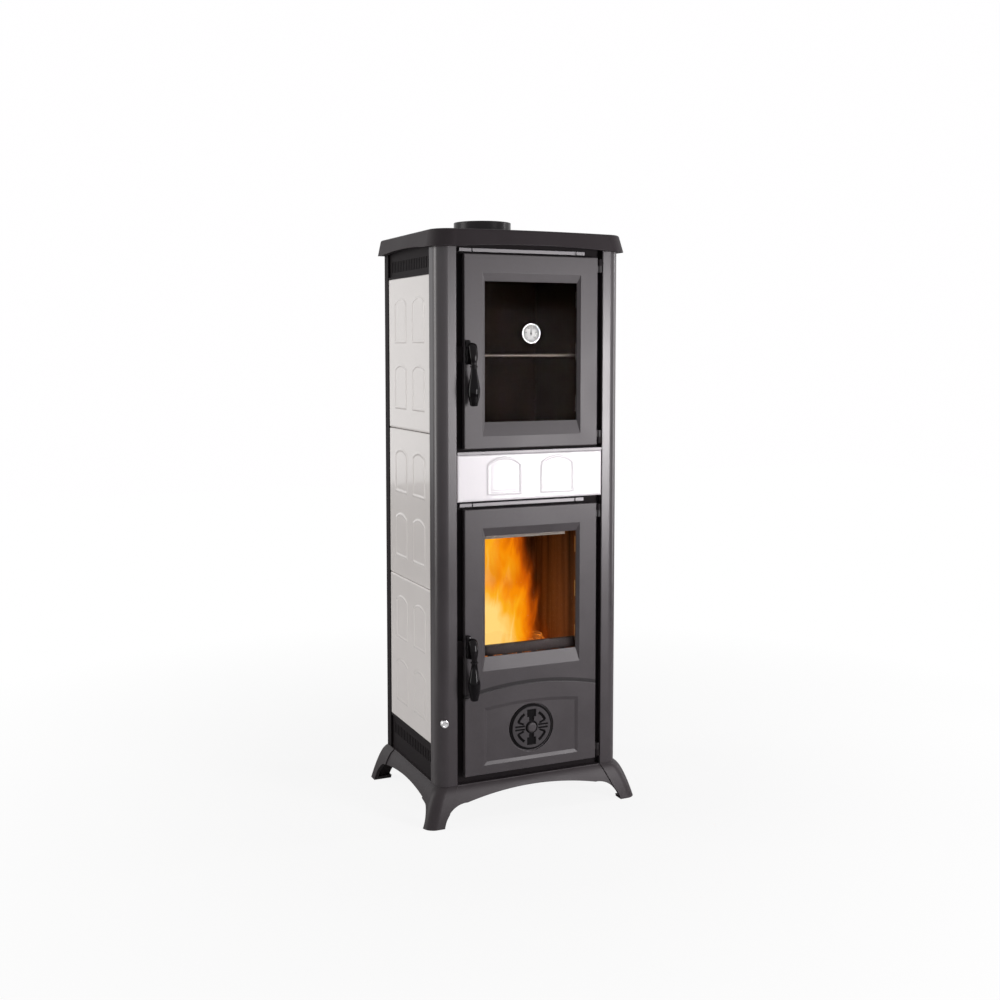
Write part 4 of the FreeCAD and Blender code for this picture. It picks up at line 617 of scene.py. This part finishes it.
cut_depth, rim_round, soft_edge, barb_lean = 0.0034, 0.0012, 0.0010, 22
spin, rest = np.meshgrid(np.linspace(0, 2 * math.pi, 360, endpoint=False), np.linspace(0.0, 1.0, 110)[1:])
reach = radius * rest
x, z = reach * np.cos(spin), reach * np.sin(spin)
tall, wide = np.abs(z), np.abs(x)
slots = np.minimum(0.0100 - wide, 0.0080 - np.abs(tall - 0.0300))
slots = np.maximum(slots, np.minimum(0.0055 - wide, 0.0050 - np.abs(tall - 0.0185)))
slots = np.maximum(slots, np.minimum(0.0016 - np.abs(tall - 0.0034), 0.0110 - np.abs(wide - 0.0270)))
bearing = np.degrees(np.arctan2(tall, wide))
hooks = np.radians(np.minimum(bearing - barb_lean, 60 - bearing)) * reach
slots = np.maximum(slots, np.minimum(0.0026 - np.abs(reach - 0.0335), hooks))
lean_cos, lean_sin = math.cos(math.radians(barb_lean)), math.sin(math.radians(barb_lean))
along_barb = wide * lean_cos + tall * lean_sin
aside = np.abs(tall * lean_cos - wide * lean_sin)
slots = np.maximum(slots, np.minimum(0.0019 - aside, 0.0070 - np.abs(along_barb - 0.0270)))
hollow = np.maximum(smooth(reach - 0.0446, soft_edge), smooth(slots, soft_edge))
hollow = np.maximum(hollow, 0.9 * smooth(0.0018 - np.abs(reach - 0.0120), 0.0012))
rounding = np.clip((reach - radius + rim_round) / rim_round, 0, 1) ** 2
depth = cut_depth * hollow + rim_round * rounding
front_face = np.stack([middle[0] + x, low[1] + depth, middle[1] + z], -1)
rim_back = front_face[-1].copy()
rim_back[:, 1] = high[1]
rings = np.concatenate([front_face, rim_back[None]])
points = np.concatenate([rings.reshape(-1, 3), [[middle[0], low[1], middle[1]]]])
rows, columns = rings.shape[:2]
hub = rows * columns
fan = [[hub, (step + 1) % columns, step] for step in range(columns)]
faces = grid_faces(rows, columns, False, True) + fan + [list(range((rows - 1) * columns, rows * columns))]

shaded_rosette_iron, tree, face, here = new_material("rosette_iron")
skin = add(tree, "Group", {"Vector": here}, node_tree=sand_skin)
body = mix(tree, skin.outputs["Tone"], (0.050, 0.045, 0.048), (0.070, 0.065, 0.069))
# The cuts, read from the hollow attribute, get a painted shade of near black.
cut = add(tree, "Attribute", attribute_name="hollow")
colour = mix(tree, cut.outputs["Fac"], body, (0.004, 0.0035, 0.004))
dull = add(tree, "MapRange", {"Value": cut.outputs["Fac"], "To Min": 0.42, "To Max": 0.85})
relief = add(tree, "Bump", {"Strength": 0.2, "Distance": 0.0004, "Height": skin.outputs["Height"]})
feed(tree, face, {"Base Color": colour, "Roughness": dull.outputs[0],
                  "Normal": relief.outputs[0], "Specular IOR Level": 0.16})

rosette = new_object("air_rosette_cast", points, faces, shaded_rosette_iron)
cut = rosette.data.attributes.new("hollow", "FLOAT", "POINT")
cut.data.foreach_set("value", np.concatenate([hollow.ravel(), np.zeros(columns + 1)]).astype(np.float32))
outwards(rosette)
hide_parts("air_rosette")
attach(rosette, "air_control")

# The oven thermometer: a chromed brass case with a rolled bezel, a white dial marked from 0 to 500
# and a domed glass, on a stem through the door glass. Its needle is a part of its own.
low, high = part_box("thermometer_case")
x, z = (low[0] + high[0]) / 2, (low[2] + high[2]) / 2
bezel_radius = (high[0] - low[0]) / 2
case_front, case_back = low[1], low[1] + 0.006
dial_radius = 0.0178
knots = [(dial_radius, case_front + 0.0030), (0.0182, case_front + 0.0012), (0.0190, case_front + 0.0002),
         (0.0200, case_front + 0.0002), (bezel_radius, case_front + 0.0012),
         (bezel_radius, case_front + 0.0030), (0.0203, case_back - 0.0008), (0.0190, case_back)]
profile = np.concatenate([
    [(0.0001, case_front + 0.0030)], through(knots, 40),
    [(0.0090, case_back), (0.0090, case_back + 0.0025), (0.0040, case_back + 0.0025),
     (0.0040, high[1] - 0.002), (0.0030, high[1] - 0.0005), (0.0001, high[1])],
])
points, faces = joined([turned_facing(profile, 72, x, z)])
case = outwards(new_object("thermometer_bezel", points, faces, chrome))
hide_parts("thermometer_case")
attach(case, "oven_door")

dial_white = painted("dial_enamel", (0.80, 0.80, 0.78), (0.86, 0.86, 0.84), (0.86, 0.86, 0.84),
                     (0.35, 0.5), 0.02)
dial_black = painted("dial_print", (0.012, 0.012, 0.012), (0.02, 0.02, 0.02), (0.02, 0.02, 0.02),
                     (0.4, 0.5), 0.02)
face_y = case_front + 0.0029
disc = np.array([(0.0001, face_y), (0.006, face_y), (0.012, face_y), (dial_radius, face_y),
                 (dial_radius, face_y + 0.0004), (0.0001, face_y + 0.0004)])
points, faces = joined([turned_facing(disc, 72, x, z)])
dial = outwards(new_object("thermometer_dial", points, faces, dial_white))
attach(dial, "oven_door")


def bar_box(centre, right, up, half_width, half_height, y_near, y_far):
    """The eight corners and six faces of a flat bar in the dial's plane."""
    corners = [centre + a * half_width * right + b * half_height * up
               for a, b in ((-1, -1), (1, -1), (1, 1), (-1, 1))]
    points = [(p[0], y, p[1]) for y in (y_near, y_far) for p in corners]
    return points, [[0, 1, 2, 3], [7, 6, 5, 4], [0, 4, 5, 1], [1, 5, 6, 2], [2, 6, 7, 3], [3, 7, 4, 0]]


dial_start, dial_sweep = 225, 270
points, faces = [], []
for mark in range(51):
    angle = math.radians(dial_start - dial_sweep * mark / 50)
    out = np.array([math.cos(angle), math.sin(angle)])
    half_width, half_height = (0.00028, 0.0014) if mark % 10 == 0 else (0.00012, 0.0007)
    middle_at = np.array([x, z]) + out * (0.0165 - half_height)
    bar, sides = bar_box(middle_at, np.array([out[1], -out[0]]), out, half_width, half_height,
                         face_y - 0.00006, face_y + 0.0001)
    faces += [[corner + len(points) for corner in side] for side in sides]
    points += bar
scale = outwards(new_object("thermometer_scale", points, faces, dial_black))
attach(scale, "oven_door")

number_radius = 0.0118
for number in range(0, 501, 100):
    angle = math.radians(dial_start - dial_sweep * number / 500)
    text = bpy.data.curves.new("dial_number_%d" % number, "FONT")
    text.body = str(number)
    text.size = 0.0036
    text.extrude = 0.00004
    text.align_x, text.align_y = "CENTER", "CENTER"
    letter = bpy.data.objects.new("dial_number_%d" % number, text)
    bpy.context.collection.objects.link(letter)
    flat = bpy.data.meshes.new_from_object(letter)
    bpy.data.objects.remove(letter)
    at = np.empty(len(flat.vertices) * 3)
    flat.vertices.foreach_get("co", at)
    at = at.reshape(-1, 3)
    centre_x, centre_z = x + number_radius * math.cos(angle), z + number_radius * math.sin(angle)
    at = np.stack([centre_x + at[:, 0], face_y - 0.00005 - at[:, 2], centre_z + at[:, 1]], -1)
    flat.vertices.foreach_set("co", at.ravel())
    flat.materials.append(dial_black)
    flat.update()
    printed = bpy.data.objects.new("dial_number_%d" % number, flat)
    bpy.context.collection.objects.link(printed)
    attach(printed, "oven_door")

dome = np.linspace(0.0, 1.0, 12)[:, None]
outer = np.concatenate([0.0001 + 0.0181 * dome, case_front + 0.0001 + 0.0011 * dome ** 2], -1)
inner = outer[::-1] + (0.0, 0.0006)
points, faces = joined([turned_facing(np.concatenate([outer, inner]), 72, x, z)])
dial_glass = clear_glass("dial_glass", (0.99, 0.99, 0.99), 0.0)
cover = outwards(new_object("thermometer_glass", points, faces, dial_glass))
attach(cover, "oven_door")
finish_nodes(dial_black, "thermometer_needle")

# The firebox: warm brown refractory bricks, blackened by smoke in upright streaks and towards the
# top, and a baffle of the same brick under the oven.
brick, tree, face, here = new_material("firebrick")
place = add(tree, "SeparateXYZ", {0: here})
sand = add(tree, "TexNoise", {"Vector": here, "Scale": 240.0, "Detail": 4.0})
drawn = add(tree, "VectorMath", {0: here, 1: (42.0, 42.0, 2.0)}, operation="MULTIPLY")
smoke = add(tree, "TexNoise", {"Vector": drawn.outputs[0], "Scale": 1.0, "Detail": 4.0})
lifted = add(tree, "MapRange", {"Value": place.outputs["Z"], "From Min": 0.22, "From Max": 0.62})
soot = add(tree, "Math", {0: lifted.outputs[0], 1: 0.35, 2: smoke.outputs["Fac"]}, operation="MULTIPLY_ADD")
soot = add(tree, "MapRange", {"Value": soot.outputs[0], "From Min": 0.40, "From Max": 0.95})
clean = mix(tree, sand.outputs["Fac"], (0.19, 0.090, 0.045), (0.32, 0.165, 0.090))
colour = mix(tree, soot.outputs[0], clean, (0.030, 0.020, 0.014))
relief = add(tree, "Bump", {"Strength": 0.5, "Distance": 0.0012, "Height": sand.outputs["Fac"]})
dull = add(tree, "MapRange", {"Value": sand.outputs["Fac"], "To Min": 0.85, "To Max": 1.0})
feed(tree, face, {"Base Color": colour, "Roughness": dull.outputs[0],
                  "Normal": relief.outputs[0], "Specular IOR Level": 0.1})
finish_nodes(brick, "firebrick_left", "firebrick_right", "firebrick_rear", "flame_baffle")

# The fire: split logs crossed on a bed of embers over the grate, and three sheets of flame that rise
# behind the glass, yellow low on the left, deep orange above, and fading out on the right.
bed_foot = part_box("fire_grate")[1][2] + 0.0006
hearth_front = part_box("log_guard")[1][1] + 0.002
brick_left, brick_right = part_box("firebrick_left")[1][0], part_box("firebrick_right")[0][0]
brick_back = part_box("firebrick_rear")[0][1]
brick_gap = 0.004

embers, tree, face, here = new_material("embers")
crack = add(tree, "TexVoronoi", {"Vector": here, "Scale": 75.0}, feature="DISTANCE_TO_EDGE")
glow = add(tree, "TexNoise", {"Vector": here, "Scale": 26.0, "Detail": 3.0})
seam = add(tree, "MapRange", {"Value": crack.outputs["Distance"], "From Min": 0.16, "From Max": 0.0})
heat = add(tree, "Math", {0: seam.outputs[0], 1: 0.7, 2: glow.outputs["Fac"]}, operation="MULTIPLY_ADD")
heat = add(tree, "MapRange", {"Value": heat.outputs[0], "From Min": 0.42, "From Max": 1.15})
hot = mix(tree, heat.outputs[0], (0.05, 0.004, 0.0), (1.0, 0.42, 0.05))
char = mix(tree, glow.outputs["Fac"], (0.008, 0.006, 0.005), (0.10, 0.08, 0.07))
relief = add(tree, "Bump", {"Strength": 0.8, "Distance": 0.003, "Height": crack.outputs["Distance"]})
feed(tree, face, {"Base Color": char, "Emission Color": hot,
                  "Normal": relief.outputs[0], "Emission Strength": 1.3, "Roughness": 0.95})

across, deep = np.meshgrid(np.linspace(0, 1, 90), np.linspace(0, 1, 70))
x = brick_left + brick_gap + (brick_right - brick_left - 2 * brick_gap) * across
y = hearth_front + (brick_back - brick_gap - hearth_front) * deep
lumps = np.sin(210 * x + 2.0 * np.sin(160 * y)) * np.sin(190 * y + 1.7 * np.sin(170 * x + 1.0))
from_edge = np.minimum(np.minimum(across, 1 - across), np.minimum(deep, 1 - deep))
mound = np.minimum(1.0, 5.0 * from_edge + 0.25)
top = bed_foot + 0.003 + mound * (0.020 + 0.006 * lumps)
bed_points = np.stack([np.stack([x, y, top], -1), np.stack([x, y, np.full_like(x, bed_foot)], -1)])
rows, columns = x.shape
upper = grid_faces(rows, columns)
lower = [[corner + rows * columns for corner in quad] for quad in upper]
edge = border(np.arange(rows * columns).reshape(rows, columns))
following = np.roll(edge, -1)
skirt = np.stack([edge, following, following + rows * columns, edge + rows * columns], -1).tolist()
bed = outwards(new_object("ember_bed", bed_points, upper + lower + skirt, embers))
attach(bed, "range_body")

bark, tree, face, here = new_material("charred_bark")
drawn = add(tree, "VectorMath", {0: here, 1: (30.0, 110.0, 110.0)}, operation="MULTIPLY")
crack = add(tree, "TexVoronoi", {"Vector": drawn.outputs[0], "Scale": 1.0}, feature="DISTANCE_TO_EDGE")
rough_bark = add(tree, "TexNoise", {"Vector": drawn.outputs[0], "Scale": 2.0, "Detail": 4.0})
seam = add(tree, "MapRange", {"Value": crack.outputs["Distance"], "From Min": 0.10, "From Max": 0.0})
hot = mix(tree, seam.outputs[0], (0.10, 0.022, 0.003), (1.0, 0.30, 0.03))
char = mix(tree, rough_bark.outputs["Fac"], (0.03, 0.018, 0.010), (0.22, 0.13, 0.07))
relief = add(tree, "Bump", {"Strength": 0.9, "Distance": 0.003, "Height": rough_bark.outputs["Fac"]})
feed(tree, face, {"Base Color": char, "Emission Color": hot,
                  "Normal": relief.outputs[0], "Emission Strength": 1.4, "Roughness": 0.9})

# Each log's two ends and its radius.
log_ends = [
    ((-0.112, -0.045, 0.262), (0.108, -0.070, 0.266), 0.027),
    ((-0.108, 0.045, 0.266), (0.112, 0.040, 0.262), 0.030),
    ((-0.118, -0.030, 0.325), (0.030, 0.035, 0.318), 0.031),
    ((-0.020, -0.060, 0.318), (0.116, 0.060, 0.312), 0.023),
]
logs = []
for start, end, girth in log_ends:
    start, end = np.array(start), np.array(end)
    run = (end - start) / np.linalg.norm(end - start)
    side = np.cross(run, (0.0, 0.0, 1.0))
    side /= np.linalg.norm(side)
    up = np.cross(side, run)
    along, spin = np.meshgrid(np.linspace(0, 1, 40), np.linspace(0, 2 * math.pi, 32, endpoint=False),
                              indexing="ij")
    knobs = 0.05 * np.sin(3 * spin + 9 * along) + 0.04 * np.sin(7 * spin - 5 * along)
    reach = girth * (1 + knobs - 0.06 * along)
    reach = reach * np.minimum(1, 0.86 + 4 * np.minimum(along, 1 - along))
    logs.append(start + (end - start) * along[..., None] + reach[..., None] * (
        np.cos(spin)[..., None] * side + np.sin(spin)[..., None] * up))
points, faces = joined(logs)
stack = outwards(new_object("split_logs", points, faces, bark))
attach(stack, "range_body")

# The flames' colours from cool to hot, and each sheet's name, place in Y, foot, head, shift of its
# pattern and strength.
flame_ramp = [(0.0, (0.02, 0.003, 0.0)), (0.22, (0.20, 0.030, 0.002)), (0.42, (0.62, 0.11, 0.002)),
              (0.62, (0.87, 0.26, 0.002)), (0.78, (0.90, 0.40, 0.010)), (1.0, (0.98, 0.66, 0.20))]
sheets = [("back", 0.080, 0.300, 0.650, 0.0, 1.15), ("middle", 0.015, 0.300, 0.645, 3.7, 0.92),
          ("front", -0.070, 0.330, 0.560, 8.1, 0.55)]
sheet_left, sheet_right = brick_left + brick_gap, brick_right - brick_gap
for name, depth, foot, head, shift, fullness in sheets:
    flame, tree, face, here = new_material("flame_" + name)
    place = add(tree, "SeparateXYZ", {0: here})
    bent = add(tree, "TexNoise", {"Vector": here, "Scale": 13.0, "Detail": 1.0})
    bent = add(tree, "VectorMath", {0: bent.outputs["Color"], 1: (0.050, 0.0, 0.060)}, operation="MULTIPLY")
    bent = add(tree, "VectorMath", {0: here, 1: bent.outputs[0]}, operation="ADD")
    drawn = add(tree, "VectorMath", {0: bent.outputs[0], 1: (26.0, 26.0, 7.0), 2: (shift, 0.0, shift)},
                operation="MULTIPLY_ADD")
    tongue = add(tree, "TexNoise", {"Vector": drawn.outputs[0], "Scale": 1.0, "Detail": 3.5,
                                    "Roughness": 0.5})
    rise = add(tree, "MapRange", {"Value": place.outputs["Z"], "From Min": foot, "From Max": head,
                                  "To Min": fullness, "To Max": 0.60 * fullness})
    left = add(tree, "MapRange", {"Value": place.outputs["X"], "From Min": -0.12, "From Max": 0.02,
                                  "To Min": 0.42, "To Max": 0.0})
    right = add(tree, "MapRange", {"Value": place.outputs["X"], "From Min": 0.010, "From Max": 0.135,
                                   "To Min": 0.0, "To Max": 1.0}, interpolation_type="SMOOTHSTEP")
    tip = add(tree, "MapRange", {"Value": place.outputs["Z"], "From Min": head - 0.110, "From Max": head,
                                 "To Min": 1.0, "To Max": 0.0}, interpolation_type="SMOOTHSTEP")
    flank = add(tree, "MapRange", {"Value": place.outputs["X"], "From Min": sheet_left,
                                   "From Max": sheet_left + 0.022})
    core = add(tree, "VectorMath", {0: here, 1: (-0.045, depth, 0.385)}, operation="DISTANCE")
    core = add(tree, "MapRange", {"Value": core.outputs["Value"], "From Min": 0.02, "From Max": 0.10,
                                  "To Min": 0.30, "To Max": 0.0})
    left = add(tree, "Math", {0: left.outputs[0], 1: core.outputs[0]}, operation="ADD")
    heat = add(tree, "Math", {0: tongue.outputs["Fac"], 1: 0.5}, operation="SUBTRACT")
    heat = add(tree, "Math", {0: heat.outputs[0], 1: 1.0, 2: rise.outputs[0]}, operation="MULTIPLY_ADD")
    heat = add(tree, "Math", {0: heat.outputs[0], 1: left.outputs[0]}, operation="ADD")
    heat = add(tree, "Math", {0: heat.outputs[0], 1: right.outputs[0]}, operation="SUBTRACT")
    ramp = add(tree, "ValToRGB", {"Fac": heat.outputs[0]})
    ramp.color_ramp.elements[0].position = flame_ramp[0][0]
    ramp.color_ramp.elements[1].position = flame_ramp[-1][0]
    for stop, _ in flame_ramp[1:-1]:
        ramp.color_ramp.elements.new(stop)
    for element, (_, tone) in zip(ramp.color_ramp.elements, flame_ramp):
        element.color = (*tone, 1)
    clear = add(tree, "MapRange", {"Value": heat.outputs[0], "From Min": 0.06, "From Max": 0.52,
                                   "To Max": 0.94})
    for fade in (tip, flank):
        clear = add(tree, "Math", {0: clear.outputs[0], 1: fade.outputs[0]}, operation="MULTIPLY")
    feed(tree, face, {"Emission Color": ramp.outputs["Color"], "Alpha": clear.outputs[0],
                      "Base Color": (0.0, 0.0, 0.0, 1), "Specular IOR Level": 0.0,
                      "Emission Strength": 1.15})

    x, z = np.meshgrid(np.linspace(sheet_left, sheet_right, 48), np.linspace(foot, head, 60))
    y = depth + 0.010 * np.sin(55 * x + 2 * shift) * np.sin(11 * z + shift)
    y = y + 0.006 * np.sin(120 * x - 30 * z)
    sheet = new_object("flame_" + name, np.stack([x, y, z], -1), grid_faces(60, 48), flame)
    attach(sheet, "range_body")

# The air strip: satin steel along the top edge of the fire glass, behind it, which leads air down
# the pane. It stops short of the hinge side.
satin = painted("satin_strip", (0.20, 0.185, 0.17), (0.28, 0.26, 0.24), (0.4, 0.4, 0.4),
                (0.5, 0.6), 0.02, grain=900.0, metal=0.2, specular=0.3, radius=0.0003)
glass_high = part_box("fire_door_glass")[1]
strip_ends, strip_drop = (-0.1050, 0.0830), 0.0140
lip = np.array([(0.0004, 0.0), (0.0016, 0.0004), (0.0016, 0.0062), (0.0004, 0.0070)])
strip_rings = np.stack([
    np.stack([np.full(4, x), glass_high[1] + lip[:, 0], glass_high[2] - strip_drop + lip[:, 1]], -1)
    for x in np.linspace(*strip_ends, 24)
])
points, faces = joined([strip_rings])
strip = outwards(new_object("fire_glass_air_strip", points, faces, satin))
strip.data.polygons.foreach_set("use_smooth", np.zeros(len(strip.data.polygons), bool))
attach(strip, "fire_door")

# The oven: a folded steel box in brown-black enamel.
oven_enamel = painted("oven_enamel", (0.016, 0.007, 0.004), (0.030, 0.014, 0.008), (0.05, 0.03, 0.02),
                      (0.35, 0.5), 0.05, grain=300.0, specular=0.15)
finish_nodes(oven_enamel, "oven_box")
